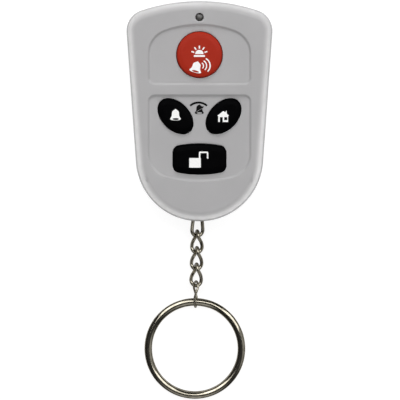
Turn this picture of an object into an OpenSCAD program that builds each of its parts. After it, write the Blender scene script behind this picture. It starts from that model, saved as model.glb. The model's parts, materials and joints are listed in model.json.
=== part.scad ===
// Alarm key fob: a two-shell case with four keys, a coin cell behind a turn-lock cover,
// a curb chain and a split ring. The fob lies on its back: +Z is the side with the keys,
// +Y is the end with the lamp, and the origin is on the back face, at the middle of the outline.
// All sizes are in millimetres, and all angles in degrees.

/* [Case] */
// Length of the case from the lamp end to the tail
case_l = 61.1; // [58:0.1:66]
// Greatest width of the case
case_w = 40.5; // [39:0.1:46]
// Radius of the round tail
tail_r = 17.7; // [16.5:0.1:18.8]
// Radius of the two corners at the lamp end
corner_r = 6; // [5:0.1:8]
// Radius of the gently bowed lamp end
bow_r = 51.3; // [45:0.1:70]
// Thickness of the side walls
wall = 1.8; // [1.5:0.1:2.2]
// Thickness of the back wall
back_t = 1.6; // [1.4:0.1:2]
// Thickness of the front wall under the recessed panels
roof_t = 1.6; // [1.2:0.1:2.4]
// Radius of the rounded front edge
face_r = 2.4; // [1.6:0.1:2.8]
// Radius of the rounded back edge
back_r = 1.6; // [1:0.1:2]
// How far each shell narrows from the parting line to its rounded edge
draft = 0.25; // [0:0.05:0.4]
// Height of the tongue that lines up the two shells
tongue_h = 0.8; // [0.6:0.1:1.2]
// Distance of the tongue from the outside of the case
tongue_inset = 0.95; // [0.8:0.05:1.1]

/* [Panels] */
// Depth of the two recessed panels
recess_d = 0.45; // [0.2:0.05:0.7]
// Width of both panels
panel_w = 28.15; // [26:0.05:30]
// Radius of the upper panel's bowed end
upper_bow_r = 28.2; // [26:0.1:34]
// Radius of the lower panel's bowed end
lower_bow_r = 41; // [34:0.1:50]
// Corner radius at the bowed end of each panel
panel_bow_corner_r = 6.7; // [5.5:0.1:7.5]
// Corner radius at the straight end of each panel
panel_corner_r = 1.7; // [1:0.1:2.5]
// Length of the upper panel
upper_panel_l = 16.4; // [15.4:0.1:17.4]
// Distance of the upper panel's bowed end from the lamp end
upper_panel_edge = 6.65; // [6.35:0.05:7.5]
// Length of the lower panel
lower_panel_l = 23.55; // [22.5:0.05:24.5]
// Distance of the lower panel's bowed end from the tail
lower_panel_edge = 11.3; // [10.6:0.05:12]

/* [Keys] */
// Diameter of the round key
panic_d = 12.7; // [11:0.1:13.5]
// Distance of the round key from the upper panel's bowed end
panic_drop = 8.3; // [7.9:0.1:8.9]
// Length of an oval key
oval_l = 11.55; // [10.5:0.05:12]
// Width of an oval key
oval_w = 7.5; // [6.8:0.05:8]
// Lean of an oval key's long axis from straight across the case
oval_tilt = 45; // [35:1:55]
// Distance of an oval key from the middle line
oval_x = 6.65; // [6.5:0.05:7.5]
// Distance of the oval keys from the lower panel's bowed end
oval_lift = 17.8; // [17.5:0.05:18.2]
// Width of the wide key
wide_w = 14.7; // [12:0.1:16]
// Height of the wide key at its middle
wide_h = 8.4; // [7.6:0.1:8.8]
// Radius of the wide key's bowed long sides
wide_bow_r = 30.9; // [24:0.1:45]
// Corner radius of the wide key
wide_corner_r = 1.9; // [1.2:0.1:2.4]
// Distance of the wide key from the lower panel's bowed end
wide_lift = 5.95; // [5.65:0.05:6.25]
// Height of a key's top above its panel
key_rise = 0.8; // [0.5:0.05:1.4]
// Radius of a key's rounded rim
key_edge_r = 0.6; // [0.3:0.05:0.8]
// Height of the shallow crown on a key
key_crown = 0.25; // [0.1:0.05:0.4]
// How far a key can be pressed
key_travel = 0.3; // [0.2:0.05:0.4]
// Thickness of the flange that keeps a key in the case
flange_t = 0.8; // [0.6:0.05:1.2]
// How far the flange stands out round a key
flange_w = 0.85; // [0.6:0.05:0.9]

/* [Switches] */
// Side of a switch base
switch_w = 4.5; // [4:0.1:5]
// Height of a switch base
switch_h = 1.6; // [1.4:0.1:2.2]
// Diameter of a switch plunger
plunger_d = 2.2; // [1.8:0.1:2.6]
// How far a plunger stands out of its base
plunger_h = 0.85; // [0.75:0.05:1.3]
// How deep a plunger reaches into its base
plunger_in = 0.6; // [0.4:0.05:0.7]

/* [Lamp] */
// Distance of the lamp from the lamp end
lamp_edge = 4.55; // [4.35:0.05:4.75]
// Diameter of the light pipe
pipe_d = 2; // [1.8:0.1:2.4]
// Diameter of the light pipe's collar
collar_d = 3.2; // [2.8:0.1:3.4]
// Height of the light pipe's collar
collar_t = 0.8; // [0.5:0.1:1.2]
// How far the light pipe's end lies below the front face
pipe_sink = 0.12; // [0:0.02:0.3]
// Height of the lamp on the board
lamp_h = 1.2; // [0.8:0.1:1.6]

/* [Board] */
// Thickness of the circuit board
board_t = 1.2; // [1:0.1:1.6]
// Diameter of the posts that carry the board
post_d = 3.2; // [2.6:0.1:3.4]
// Distance of the upper posts from the middle line
upper_post_x = 15.2; // [14.8:0.1:15.4]
// Place of the upper posts along the case
upper_post_y = 3.5; // [2:0.1:5]
// Distance of the lower posts from the middle line
lower_post_x = 11; // [10:0.1:11.4]
// Place of the lower posts along the case
lower_post_y = -17; // [-17.5:0.1:-16.5]
// Diameter of the pegs on the lower posts
peg_d = 1.6; // [1.2:0.1:2]
// Width of the antenna strip
antenna_w = 1.1; // [0.8:0.1:1.3]
// Thickness of the antenna strip
antenna_t = 0.4; // [0.2:0.05:0.6]
// Distance of the antenna strip from the board's edge
antenna_edge = 0.9; // [0.6:0.1:1]
// Angle that the antenna strip covers round the tail
antenna_angle = 140; // [100:5:150]

/* [Coin cell] */
// Diameter of the coin cell
cell_d = 20; // [18:0.1:20.5]
// Thickness of the coin cell
cell_h = 3.2; // [2.5:0.1:4]
// Room between the cell and the board for the contact spring
cell_room = 1.7; // [1.4:0.1:2.4]
// Thickness of the contact strips
strip_t = 0.25; // [0.15:0.05:0.3]
// Width of the contact strips
strip_w = 4; // [3:0.1:5]

/* [Battery cover] */
// Thickness of the battery cover
cover_t = 1.3; // [1.2:0.1:1.6]
// How far the cover lies inside the back face
cover_sink = 0.1; // [0.05:0.05:0.3]
// How far the cover reaches past the cell
cover_margin = 1.4; // [1.3:0.1:1.6]
// Height of the rim that the lugs stand on
rim_h = 1.1; // [1:0.1:1.4]
// Thickness of the rim
rim_t = 1.1; // [0.8:0.05:1.15]
// How far the lugs reach past the rim
lug_reach = 1.2; // [0.8:0.1:1.3]
// Angle that each lug covers
lug_angle = 26; // [20:1:30]
// Angle by which the cover turns to unlock
unlock_angle = 40; // [36:1:50]
// Length of the coin slot
coin_slot_l = 14; // [10:0.5:18]
// Width of the coin slot
coin_slot_w = 1.6; // [1.2:0.1:2]
// Depth of the coin slot
coin_slot_d = 0.7; // [0.4:0.1:0.8]

/* [Screws] */
// Diameter of a screw's shank
screw_d = 1.96; // [1.6:0.02:2.2]
// Diameter of a screw's head
head_d = 3.6; // [3:0.1:3.8]
// Height of a screw's head
head_h = 1.3; // [1:0.1:1.5]
// How far a head lies inside the back face
head_sink = 0.2; // [0.1:0.1:0.4]
// Thickness of plastic under a head
head_web = 1.7; // [1.2:0.1:2]
// How far a screw reaches into the front shell
screw_bite = 5.3; // [4:0.1:6]
// Diameter of the bosses on the front shell
boss_d = 4.4; // [3.8:0.1:4.6]
// Diameter of the bosses on the rear shell
rear_boss_d = 6; // [5.4:0.1:6.2]
// Distance of the upper screws from the side of the case
screw_side = 4.75; // [4.6:0.05:5]
// Distance of the upper screws from the lamp end
screw_top = 9.05; // [8.8:0.05:9.6]
// Distance of the lower screw from the tail
screw_tail = 8.6; // [8.3:0.05:9]

/* [Chain] */
// Diameter of the chain's wire
wire_d = 1; // [0.8:0.02:1.1]
// Gap left between one link's wire and the next
wire_gap = 0.38; // [0.34:0.01:0.45]
// Length of the hole in the first link
first_hole_l = 5; // [4.4:0.1:6]
// Width of the hole in the first link
first_hole_w = 2.2; // [2:0.05:2.6]
// Length of the hole in links 2 to 4
hole_l = 4.6; // [4.2:0.1:5.6]
// Width of the hole in links 2 to 4
hole_w = 1.95; // [1.9:0.05:2.4]
// Length of the end link's hole, from the last curb link to the ring's inner edge
end_hole_l = 6.25; // [5.8:0.05:8]
// Width of the hole in the end link
end_hole_w = 2.75; // [2.7:0.05:3.2]
// Lean of a curb link's near end from lying flat
curb_lean_near = 62; // [55:1:65]
// Lean of a curb link's far end from lying flat
curb_lean_far = -32; // [-38:1:-28]
// Share of a curb link's length at which its twist begins
twist_from = 0.38; // [0.3:0.01:0.45]
// Share of a curb link's length at which its twist ends
twist_to = 0.93; // [0.85:0.01:1]
// Lean of the first link's far end from lying flat
first_lean_far = -24; // [-30:1:-15]
// Lean of the end link's near end from lying flat
end_lean_near = 60; // [50:1:75]
// Lean of the end link's far end from lying flat
end_lean_far = 90; // [85:1:95]
// Sideways lean of the whole chain
chain_lean = 1.4; // [0:0.1:3]
// Diameter of the pin in the tail
pin_d = 1.1; // [0.9:0.05:1.4]
// Distance of the pin from the middle line
pin_x = -0.5; // [-1:0.1:1]
// Distance of the pin from the end of the tail
pin_edge = 1.05; // [1:0.05:1.3]
// How deep the pin sits in the plastic below its slot
pin_seat = 0.8; // [0.5:0.1:1]
// Width of the slot that the first link swings in
slot_w = 6.4; // [6.2:0.1:7]
// Height of the slot
slot_h = 2.6; // [2.4:0.1:3]
// Depth of the slot behind the pin
slot_depth = 3; // [2.8:0.1:3.3]

/* [Split ring] */
// Outer diameter of the split ring
ring_d = 28; // [24:0.5:35]
// Width of the band, seen from the front
band_w = 2.1; // [1.6:0.05:2.2]
// Thickness of one turn of the band
turn_t = 0.75; // [0.5:0.05:0.8]
// Gap between the two turns
turn_gap = 0.42; // [0.41:0.01:0.5]
// Chamfer along the band's edges
band_chamfer = 0.22; // [0.1:0.02:0.24]
// Angle at which the front turn begins
ring_start = 73; // [60:1:75]
// Angle over which the band steps from one turn to the other
ring_step = 50; // [30:1:70]
// Gap between the band and the end link's wire
ring_gap = 0.3; // [0.25:0.01:0.4]

/* [Clearances] */
// Gap round a key in its opening, and above its flange
key_gap = 0.15; // [0.1:0.01:0.2]
// Gap round pieces that turn or slide in each other
slide_gap = 0.1; // [0.05:0.01:0.15]
// Gap of a pressed-in or threaded piece
press_gap = 0.02; // [0.01:0.005:0.04]
// Gap between the board and the side walls
board_gap = 0.5; // [0.4:0.05:0.7]
// Gap between a boss and its hole in the board
boss_gap = 0.3; // [0.2:0.05:0.4]
// Height of the lowest links and of the ring above the surface
lie_gap = 0.05; // [0.02:0.01:0.1]

/* [Hidden] */
$fn = 64;

// How far a cut runs past the face that it opens, and how deep a joined piece is sunk
cut = 1;
sunk = 0.4;

// Sections round a link and sides round its wire
link_steps = 36;
wire_sides = 10;

// Heights, from the back face up through cover, cell, board, switch, flange and front wall
cover_top = cover_sink + cover_t;
cell_z = cover_top + slide_gap;
cell_top = cell_z + cell_h;
board_z = cell_top + cell_room;
board_top = board_z + board_t;
switch_top = board_top + switch_h;
flange_z = switch_top + plunger_h;
flange_top = flange_z + flange_t;
roof_z = flange_top + slide_gap;
recess_z = roof_z + roof_t;
face_z = recess_z + recess_d;
key_top = recess_z + key_rise;
parting_drop = 0.2;
parting_z = board_z - parting_drop;

// Centres of the arcs in the case's outline
tail_y = tail_r - case_l / 2;
bow_y = case_l / 2 - bow_r;
corner_x = case_w / 2 - corner_r;
corner_y = bow_y + sqrt(pow(bow_r - corner_r, 2) - pow(corner_x, 2));
corner_far = norm([corner_x, corner_y - tail_y]);
side_angle = atan2(corner_y - tail_y, corner_x) - acos((tail_r - corner_r) / corner_far);
bow_angle = atan2(corner_y - bow_y, corner_x);

// Battery opening: it leaves the back face whole at the origin
cover_r = cell_d / 2 + cover_margin;
opening_r = cover_r + slide_gap;
lug_r = cover_r + lug_reach;
notch_r = lug_r + key_gap;
origin_land = 0.75;
cell_y = notch_r + origin_land;
lug_z = back_t + slide_gap;
rim_top = cover_top + rim_h;
lug_places = [50, 170, 290];
notch_margin = 2;

// Screws and bosses
screw_places = [
    [case_w / 2 - screw_side, case_l / 2 - screw_top],
    [screw_side - case_w / 2, case_l / 2 - screw_top],
    [0, screw_tail - case_l / 2]
];
boss_z = head_sink + head_h + head_web;
upper_posts = [[upper_post_x, upper_post_y], [-upper_post_x, upper_post_y]];
lower_posts = [[lower_post_x, lower_post_y], [-lower_post_x, lower_post_y]];

// Places along the case of the panels, the keys and the lamp, from the case's two ends
upper_panel_top = case_l / 2 - upper_panel_edge;
upper_panel_bottom = upper_panel_top - upper_panel_l;
lower_panel_bottom = lower_panel_edge - case_l / 2;
lower_panel_top = lower_panel_bottom + lower_panel_l;
panic_y = upper_panel_top - panic_drop;
oval_y = lower_panel_bottom + oval_lift;
wide_y = lower_panel_bottom + wide_lift;
lamp_y = case_l / 2 - lamp_edge;

// Key places, in the order round, left oval, right oval, wide
key_places = [[0, panic_y], [-oval_x, oval_y], [oval_x, oval_y], [0, wide_y]];

// Chain: heights and places of the contacts between pin, links and ring
slot_z = back_t;
pin_y = pin_edge - case_l / 2;
block_top = slot_z + slot_h + pin_seat + sunk;
curb_half_w = (hole_w + wire_d) / 2;
first_half_w = (first_hole_w + wire_d) / 2;
end_half_w = (end_hole_w + wire_d) / 2;
curb_twist = [curb_lean_near, curb_lean_far, twist_from, twist_to];
first_twist = [0, first_lean_far, 0, 1];
end_twist = [end_lean_near, end_lean_far, 0, 1];
curb_line = link_line([0, 0, 0], [0, -hole_l - wire_d, 0], curb_half_w, curb_twist);
curb_half_h = max([for (p = curb_line) p.z]);
lie_z = curb_half_h + wire_d / 2 + 3 * lie_gap;
stand_z = end_half_w + wire_d / 2 + lie_gap;
near_drop = 0.12;
hang_z = slot_z + slot_h / 2;
chain_dir = [-sin(chain_lean), -cos(chain_lean)];
reach = [0, first_hole_l, hole_l, hole_l, hole_l, end_hole_l];
contact_z = [hang_z, (hang_z + lie_z) / 2, lie_z, lie_z, stand_z - near_drop, stand_z];
function reached(i) = i == 0 ? 0 : reach[i] + reached(i - 1);
first_contact = [pin_x, pin_y + pin_d / 2];
contacts = [for (i = [0:len(reach) - 1])
    let (p = first_contact + reached(i) * chain_dir) [p.x, p.y, contact_z[i]]];
half_gap = (wire_d + wire_gap) / 2;

// Split ring: the band's middle radius and the tilt from the end link down to the surface
band_r = (ring_d - band_w) / 2;
turn_pitch = turn_t + turn_gap;
ring_half_h = (turn_pitch + turn_t) / 2;
ring_tilt = asin((stand_z - ring_half_h - lie_gap) / (2 * band_r));
ring_centre = contacts[5] + (ring_d / 2 - band_w) * [chain_dir.x, chain_dir.y, 0];
ring_end = ring_start + 720 - ring_step;
ring_segment = 7.5;

// Board parts, each as width, depth and height
lamp_size = [3.2, 1.6, lamp_h];
chip_size = [8.6, 3.9, 1.4];
chip_leads = 7;
lead_pitch = 1.27;
lead_size = [0.4, 1.05, 0.2];
chip_y = 5.4;
chip_stand = 0.12;
transistor_size = [2.9, 1.4, 1];
transistor_place = [-8.6, -11];
resonator_d = 4.8;
resonator_h = 1.5;
resonator_place = [8.8, -11];
small_part_side = 7.25;
small_part_x = case_w / 2 - small_part_side;
small_part_y = -2;
small_part_step = 1.9;
small_part_count = 4;
resistor_size = [2, 1.25, 0.5];
capacitor_size = [2, 1.25, 0.9];
cap_d = 17.4;
cap_h = 0.25;
cell_chamfer = 0.3;

function unit(v) = v / norm(v);
function flip(list) = [for (i = [len(list) - 1:-1:0]) list[i]];
function arc(centre, r, from, to, n) =
    [for (i = [0:n]) let (a = from + (to - from) * i / n) centre + r * [cos(a), sin(a)]];
function shifted(points, by) = [for (p = points) p + by];
function at_height(points, z) = [for (p = points) [p.x, p.y, z]];

// Outline of the case, drawn in by an inset
function case_outline(inset) = concat(
    arc([0, tail_y], tail_r - inset, 180 - side_angle, 360 + side_angle, 32),
    arc([corner_x, corner_y], corner_r - inset, side_angle, bow_angle, 9),
    arc([0, bow_y], bow_r - inset, bow_angle + 2, 178 - bow_angle, 8),
    arc([-corner_x, corner_y], corner_r - inset, 180 - bow_angle, 180 - side_angle, 9)
);

// Outline of a panel with one bowed end, from its straight end to its apex
function panel_outline(straight_y, apex_y, bow_end_r) =
    let (
        way = sign(apex_y - straight_y),
        x = panel_w / 2,
        far = abs(apex_y - straight_y),
        centre_y = far - bow_end_r,
        cx = x - panel_bow_corner_r,
        cy = centre_y + sqrt(pow(bow_end_r - panel_bow_corner_r, 2) - pow(cx, 2)),
        turn = atan2(cy - centre_y, cx),
        half = concat(
            arc([x - panel_corner_r, panel_corner_r], panel_corner_r, -90, 0, 6),
            arc([cx, cy], panel_bow_corner_r, 0, turn, 6),
            arc([0, centre_y], bow_end_r, turn + 4, 90, 5)
        )
    )
    [for (p = concat(half, [for (q = flip(half)) [-q.x, q.y]])) [p.x, straight_y + way * p.y]];

// Outline of an oval key with its tilt, grown by a margin
function oval_outline(tilt, margin) =
    let (a = oval_l / 2 + margin, b = oval_w / 2 + margin)
    [for (t = [0:7.5:359]) [
        a * cos(t) * cos(tilt) - b * sin(t) * sin(tilt),
        a * cos(t) * sin(tilt) + b * sin(t) * cos(tilt)
    ]];

// Outline of the wide key, grown by a margin
function wide_outline(margin) =
    let (
        centre_y = wide_h / 2 - wide_bow_r,
        cx = wide_w / 2 - wide_corner_r,
        cy = centre_y + sqrt(pow(wide_bow_r - wide_corner_r, 2) - pow(cx, 2)),
        turn = atan2(cy - centre_y, cx),
        r = wide_corner_r + margin,
        half = concat(
            arc([cx, cy], r, 0, turn, 7),
            arc([0, centre_y], wide_bow_r + margin, turn + 3, 177 - turn, 8),
            arc([-cx, cy], r, 180 - turn, 180, 7)
        )
    )
    concat(half, [for (p = half) [-p.x, -p.y]]);

// Levels of a key from its flange to its crown, as [inset, height]
function key_levels() = concat(
    [[0, flange_z]],
    [for (a = [0:30:90]) [key_edge_r * (1 - cos(a)), key_top - key_crown - key_edge_r * (1 - sin(a))]],
    [[key_edge_r + 1, key_top - key_crown * 0.4], [key_edge_r + 2, key_top]]
);

// Centre line of a link as a long oval, at a fraction of its length round: the point and its normal
function oval_at(half_w, length, f) =
    let (s = length - 2 * half_w, bend = PI * half_w, d = 2 * (s + bend) * f)
    d < s ? [[half_w, d - s / 2], [1, 0]]
    : d < s + bend ? let (a = 180 * (d - s) / bend)
        [[half_w * cos(a), half_w * sin(a) + s / 2], [cos(a), sin(a)]]
    : d < 2 * s + bend ? [[-half_w, s / 2 - (d - s - bend)], [-1, 0]]
    : let (a = 180 + 180 * (d - 2 * s - bend) / bend)
        [[half_w * cos(a), half_w * sin(a) - s / 2], [cos(a), sin(a)]];

// Smooth rise from 0 to 1
function eased(f) = let (t = min(1, max(0, f))) t * t * (3 - 2 * t);

// Point and normal on a link whose plane turns by a twist, given as the two ends' leans and the shares
// of the length at which the turn begins and ends
function link_at(near, far, half_w, twist, f) =
    let (
        length = norm(far - near),
        along = (far - near) / length,
        side = unit(cross([0, 0, 1], along)),
        up = cross(along, side),
        spot = oval_at(half_w, length, f),
        share = eased((spot[0].y / length + 0.5 - twist[2]) / (twist[3] - twist[2])),
        lean = twist[0] + (twist[1] - twist[0]) * share,
        across = cos(lean) * side + sin(lean) * up
    )
    [(near + far) / 2 + spot[0].x * across + spot[0].y * along, spot[1].x * across + spot[1].y * along];

function link_line(near, far, half_w, twist) =
    [for (i = [0:link_steps - 1]) link_at(near, far, half_w, twist, i / link_steps)[0]];

// One round section of wire about a point, square to the way it runs
function wire_section(point, way, normal) =
    let (n = unit(normal - (normal * way) * way), b = cross(way, n))
    [for (k = [0:wire_sides - 1])
        let (a = 360 * k / wire_sides) point + wire_d / 2 * (cos(a) * n + sin(a) * b)];

function link_sections(near, far, half_w, twist) =
    [for (i = [0:link_steps - 1])
        let (
            f = i / link_steps,
            here = link_at(near, far, half_w, twist, f),
            past = link_at(near, far, half_w, twist, (f + 0.995) % 1)[0],
            next = link_at(near, far, half_w, twist, (f + 0.005) % 1)[0]
        )
        wire_section(here[0], unit(next - past), here[1])];

// Height of the band's middle at an angle round the ring: front turn, step, back turn
function band_height(a) =
    let (step_from = ring_start + 360 - ring_step)
    turn_pitch * (0.5 - eased((a - step_from) / ring_step));

// Section of the band, as [outwards, up], with chamfered edges
function band_section() =
    let (w = band_w / 2, t = turn_t / 2, c = band_chamfer)
    [[w, c - t], [w, t - c], [w - c, t], [c - w, t], [-w, t - c], [-w, c - t], [c - w, -t], [w - c, -t]];

// Skin over a row of sections with equal point counts, closed into a ring or capped at both ends
module skin(sections, closed) {
    rows = len(sections);
    n = len(sections[0]);
    last = closed ? rows - 1 : rows - 2;
    sides = [for (i = [0:last], k = [0:n - 1])
        let (j = (i + 1) % rows, l = (k + 1) % n)
        each [[i * n + k, j * n + k, j * n + l], [i * n + k, j * n + l, i * n + l]]];
    ends = closed ? [] : [[for (k = [0:n - 1]) k], [for (k = [n - 1:-1:0]) (rows - 1) * n + k]];
    polyhedron(points = [for (s = sections) each s], faces = concat(sides, ends));
}

// Straight block over an outline between two heights
module block(outline, from, to) {
    translate([0, 0, from]) linear_extrude(to - from) polygon(outline);
}

module rod(place, d, from, to) {
    translate([place.x, place.y, from]) cylinder(d = d, h = to - from);
}

module brick(place, size, z) {
    translate([place.x - size.x / 2, place.y - size.y / 2, z]) cube(size);
}

// Sector of a ring about the cell's middle, between two radii and two heights
module cell_sector(r_in, r_out, from, to, start, angle) {
    translate([0, cell_y, 0]) rotate([0, 0, start]) rotate_extrude(angle = angle)
        translate([r_in, from]) square([r_out - r_in, to - from]);
}

module key_opening_cuts() {
    rod(key_places[0], panic_d + 2 * key_gap, roof_z - cut, face_z + cut);
    block(shifted(oval_outline(-oval_tilt, key_gap), key_places[1]), roof_z - cut, face_z + cut);
    block(shifted(oval_outline(oval_tilt, key_gap), key_places[2]), roof_z - cut, face_z + cut);
    block(shifted(wide_outline(key_gap), key_places[3]), roof_z - cut, face_z + cut);
}

module front_shell() {
    levels = concat(
        [[0, parting_z]],
        [for (a = [0:15:90]) [draft + face_r * (1 - cos(a)), face_z - face_r * (1 - sin(a))]]
    );
    color("silver") difference() {
        union() {
            difference() {
                skin([for (l = levels) at_height(case_outline(l[0]), l[1])], false);
                block(case_outline(wall), parting_z - cut, roof_z);
                block(case_outline(tongue_inset - slide_gap), parting_z - cut,
                    parting_z + tongue_h + slide_gap);
            }
            for (p = screw_places) rod(p, boss_d, boss_z, roof_z + sunk);
            for (p = upper_posts) rod(p, post_d, board_top, roof_z + sunk);
        }
        block(panel_outline(upper_panel_bottom, upper_panel_top, upper_bow_r), recess_z, face_z + cut);
        block(panel_outline(lower_panel_top, lower_panel_bottom, lower_bow_r), recess_z, face_z + cut);
        key_opening_cuts();
        rod([0, lamp_y], pipe_d + 2 * key_gap, roof_z - cut, face_z + cut);
        for (p = screw_places) rod(p, screw_d + 2 * press_gap, boss_z - cut, boss_z + screw_bite + sunk);
    }
}

module rear_shell() {
    levels = concat(
        [for (a = [0:18:90]) [draft + back_r * (1 - sin(a)), back_r * (1 - cos(a))]],
        [[0, parting_z]]
    );
    color("darkgray") difference() {
        union() {
            difference() {
                union() {
                    skin([for (l = levels) at_height(case_outline(l[0]), l[1])], false);
                    block(case_outline(tongue_inset), back_t, parting_z + tongue_h);
                }
                block(case_outline(wall), back_t, board_top + cut);
            }
            for (p = screw_places) rod(p, rear_boss_d, back_t - sunk, boss_z);
            for (p = concat(upper_posts, lower_posts)) rod(p, post_d, back_t - sunk, board_z);
            for (p = lower_posts) rod(p, peg_d, board_z - sunk, board_top);
            tail_block();
            for (a = lug_places) cover_stop(a);
        }
        rod([0, cell_y], 2 * opening_r, -cut, back_t + cut);
        for (a = lug_places) cell_sector(opening_r - sunk, notch_r, -cut, back_t + cut,
            a - lug_angle / 2 - notch_margin - unlock_angle, lug_angle + 2 * notch_margin);
        for (p = screw_places) {
            rod(p, head_d + 4 * slide_gap, -cut, head_sink + head_h);
            rod(p, screw_d + 2 * slide_gap, -cut, boss_z + cut);
        }
        brick([pin_x, pin_y + slot_depth - case_l / 2], [slot_w, case_l, slot_h], slot_z);
        rod([pin_x, pin_y], pin_d + 2 * press_gap, slot_z - pin_seat, block_top + cut);
    }
}

// Solid tail that carries the chain's pin
module tail_block() {
    margin = 2;
    intersection() {
        block(case_outline(wall - sunk), back_t - sunk, block_top);
        brick([pin_x, pin_y - case_l / 2 + slot_depth + margin], [slot_w + 2 * margin, case_l, case_l], 0);
    }
}

// Stop beside a lug, where the cover is locked
module cover_stop(a) {
    stop_angle = 4;
    clear_angle = 1;
    cell_sector(opening_r + slide_gap, notch_r, back_t - sunk, rim_top,
        a + lug_angle / 2 + clear_angle, stop_angle);
}

module battery_cover() {
    color("darkgray") difference() {
        union() {
            rod([0, cell_y], 2 * cover_r, cover_sink, cover_top);
            cell_sector(cover_r - rim_t, cover_r, cover_top - sunk, rim_top, 0, 360);
            for (a = lug_places)
                cell_sector(cover_r - sunk, lug_r, lug_z, rim_top, a - lug_angle / 2, lug_angle);
        }
        brick([0, cell_y], [coin_slot_l, coin_slot_w, coin_slot_d + cut], cover_sink - cut);
    }
}

module housing_screws() {
    recess_w = 0.45;
    recess_l = 2;
    recess_d = 0.7;
    color("silver") for (p = screw_places) difference() {
        union() {
            rod(p, head_d, head_sink, head_sink + head_h);
            rod(p, screw_d, head_sink + head_h - sunk, boss_z + screw_bite);
        }
        brick(p, [recess_l, recess_w, recess_d + cut], head_sink - cut);
        brick(p, [recess_w, recess_l, recess_d + cut], head_sink - cut);
    }
}

module panic_button() {
    r = panic_d / 2;
    crown = key_levels();
    color("firebrick") translate([0, panic_y, 0]) rotate_extrude() polygon(concat(
        [[0, flange_z], [r + flange_w, flange_z], [r + flange_w, flange_top], [r, flange_top]],
        [for (i = [1:len(crown) - 1]) [r - crown[i][0], crown[i][1]]],
        [[0, key_top]]
    ));
}

module oval_key(place, tilt) {
    color("black") {
        skin([for (l = key_levels()) at_height(shifted(oval_outline(tilt, -l[0]), place), l[1])], false);
        block(shifted(oval_outline(tilt, flange_w), place), flange_z, flange_top);
    }
}

module arm_button() { oval_key(key_places[1], -oval_tilt); }
module home_button() { oval_key(key_places[2], oval_tilt); }

module disarm_button() {
    place = key_places[3];
    least_corner_r = 0.3;
    levels = [for (l = key_levels()) [min(l[0], wide_corner_r - least_corner_r), l[1]]];
    color("black") {
        skin([for (l = levels) at_height(shifted(wide_outline(-l[0]), place), l[1])], false);
        block(shifted(wide_outline(flange_w), place), flange_z, flange_top);
    }
}

module switch_base(place) {
    well_z = switch_top - plunger_in - key_travel - slide_gap;
    color("dimgray") difference() {
        brick(place, [switch_w, switch_w, switch_h], board_top);
        rod(place, plunger_d + 2 * slide_gap, well_z, switch_top + cut);
    }
}

module switch_plunger(place) {
    color("ivory") rod(place, plunger_d, switch_top - plunger_in, flange_z);
}

module panic_switch_base() { switch_base(key_places[0]); }
module arm_switch_base() { switch_base(key_places[1]); }
module home_switch_base() { switch_base(key_places[2]); }
module disarm_switch_base() { switch_base(key_places[3]); }
module panic_switch_plunger() { switch_plunger(key_places[0]); }
module arm_switch_plunger() { switch_plunger(key_places[1]); }
module home_switch_plunger() { switch_plunger(key_places[2]); }
module disarm_switch_plunger() { switch_plunger(key_places[3]); }

module led_light_pipe() {
    color("dimgray") {
        rod([0, lamp_y], pipe_d, board_top + lamp_h + slide_gap, face_z - pipe_sink);
        rod([0, lamp_y], collar_d, roof_z - slide_gap - collar_t, roof_z - slide_gap);
    }
}

module indicator_led() {
    color("white") brick([0, lamp_y], lamp_size, board_top);
}

module circuit_board() {
    color("darkgreen") difference() {
        block(case_outline(wall + board_gap), board_z, board_top);
        for (p = screw_places) rod(p, boss_d + 2 * boss_gap, board_z - cut, board_top + cut);
        for (p = lower_posts) rod(p, peg_d + 2 * slide_gap, board_z - cut, board_top + cut);
    }
}

module loop_antenna() {
    r = tail_r - wall - board_gap - antenna_edge;
    color("goldenrod") translate([0, tail_y, 0]) rotate([0, 0, 270 - antenna_angle / 2])
        rotate_extrude(angle = antenna_angle)
            translate([r - antenna_w, board_top]) square([antenna_w, antenna_t]);
}

module encoder_chip() {
    color("black") {
        brick([0, chip_y], chip_size, board_top + chip_stand);
        for (i = [0:chip_leads - 1], way = [-1, 1]) {
            x = (i - (chip_leads - 1) / 2) * lead_pitch;
            y = chip_y + way * (chip_size.y + lead_size.y) / 2;
            brick([x, y], lead_size, board_top);
            brick([x, y - way * lead_size.y / 2], [lead_size.x, lead_size.y, chip_size.z / 2], board_top);
        }
    }
}

module saw_resonator() {
    rim = 0.3;
    color("silver") {
        rod(resonator_place, resonator_d, board_top, board_top + rim);
        rod(resonator_place, resonator_d - 2 * rim, board_top, board_top + resonator_h);
    }
}

module rf_transistor() {
    leg = 0.5;
    leg_t = 0.2;
    leg_x = 0.95;
    color("black") {
        brick(transistor_place, transistor_size, board_top);
        for (leg_place = [[-leg_x, -1], [leg_x, -1], [0, 1]])
            brick(transistor_place + [leg_place.x, leg_place.y * transistor_size.y / 2],
                [leg, 2 * leg, leg_t], board_top);
    }
}

// Row of small parts along one side of the board
module small_parts(way, size) {
    for (i = [0:small_part_count - 1])
        brick([way * small_part_x, small_part_y - i * small_part_step], size, board_top);
}

module chip_resistors() { color("black") small_parts(-1, resistor_size); }
module chip_capacitors() { color("tan") small_parts(1, capacitor_size); }

module coin_cell() {
    r = cell_d / 2;
    color("silver") translate([0, cell_y, cell_z]) rotate_extrude() polygon([
        [0, 0], [r - cell_chamfer, 0], [r, cell_chamfer], [r, cell_h - cap_h - cell_chamfer],
        [r - cell_chamfer, cell_h - cap_h], [cap_d / 2, cell_h - cap_h], [cap_d / 2, cell_h], [0, cell_h]
    ]);
}

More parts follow.
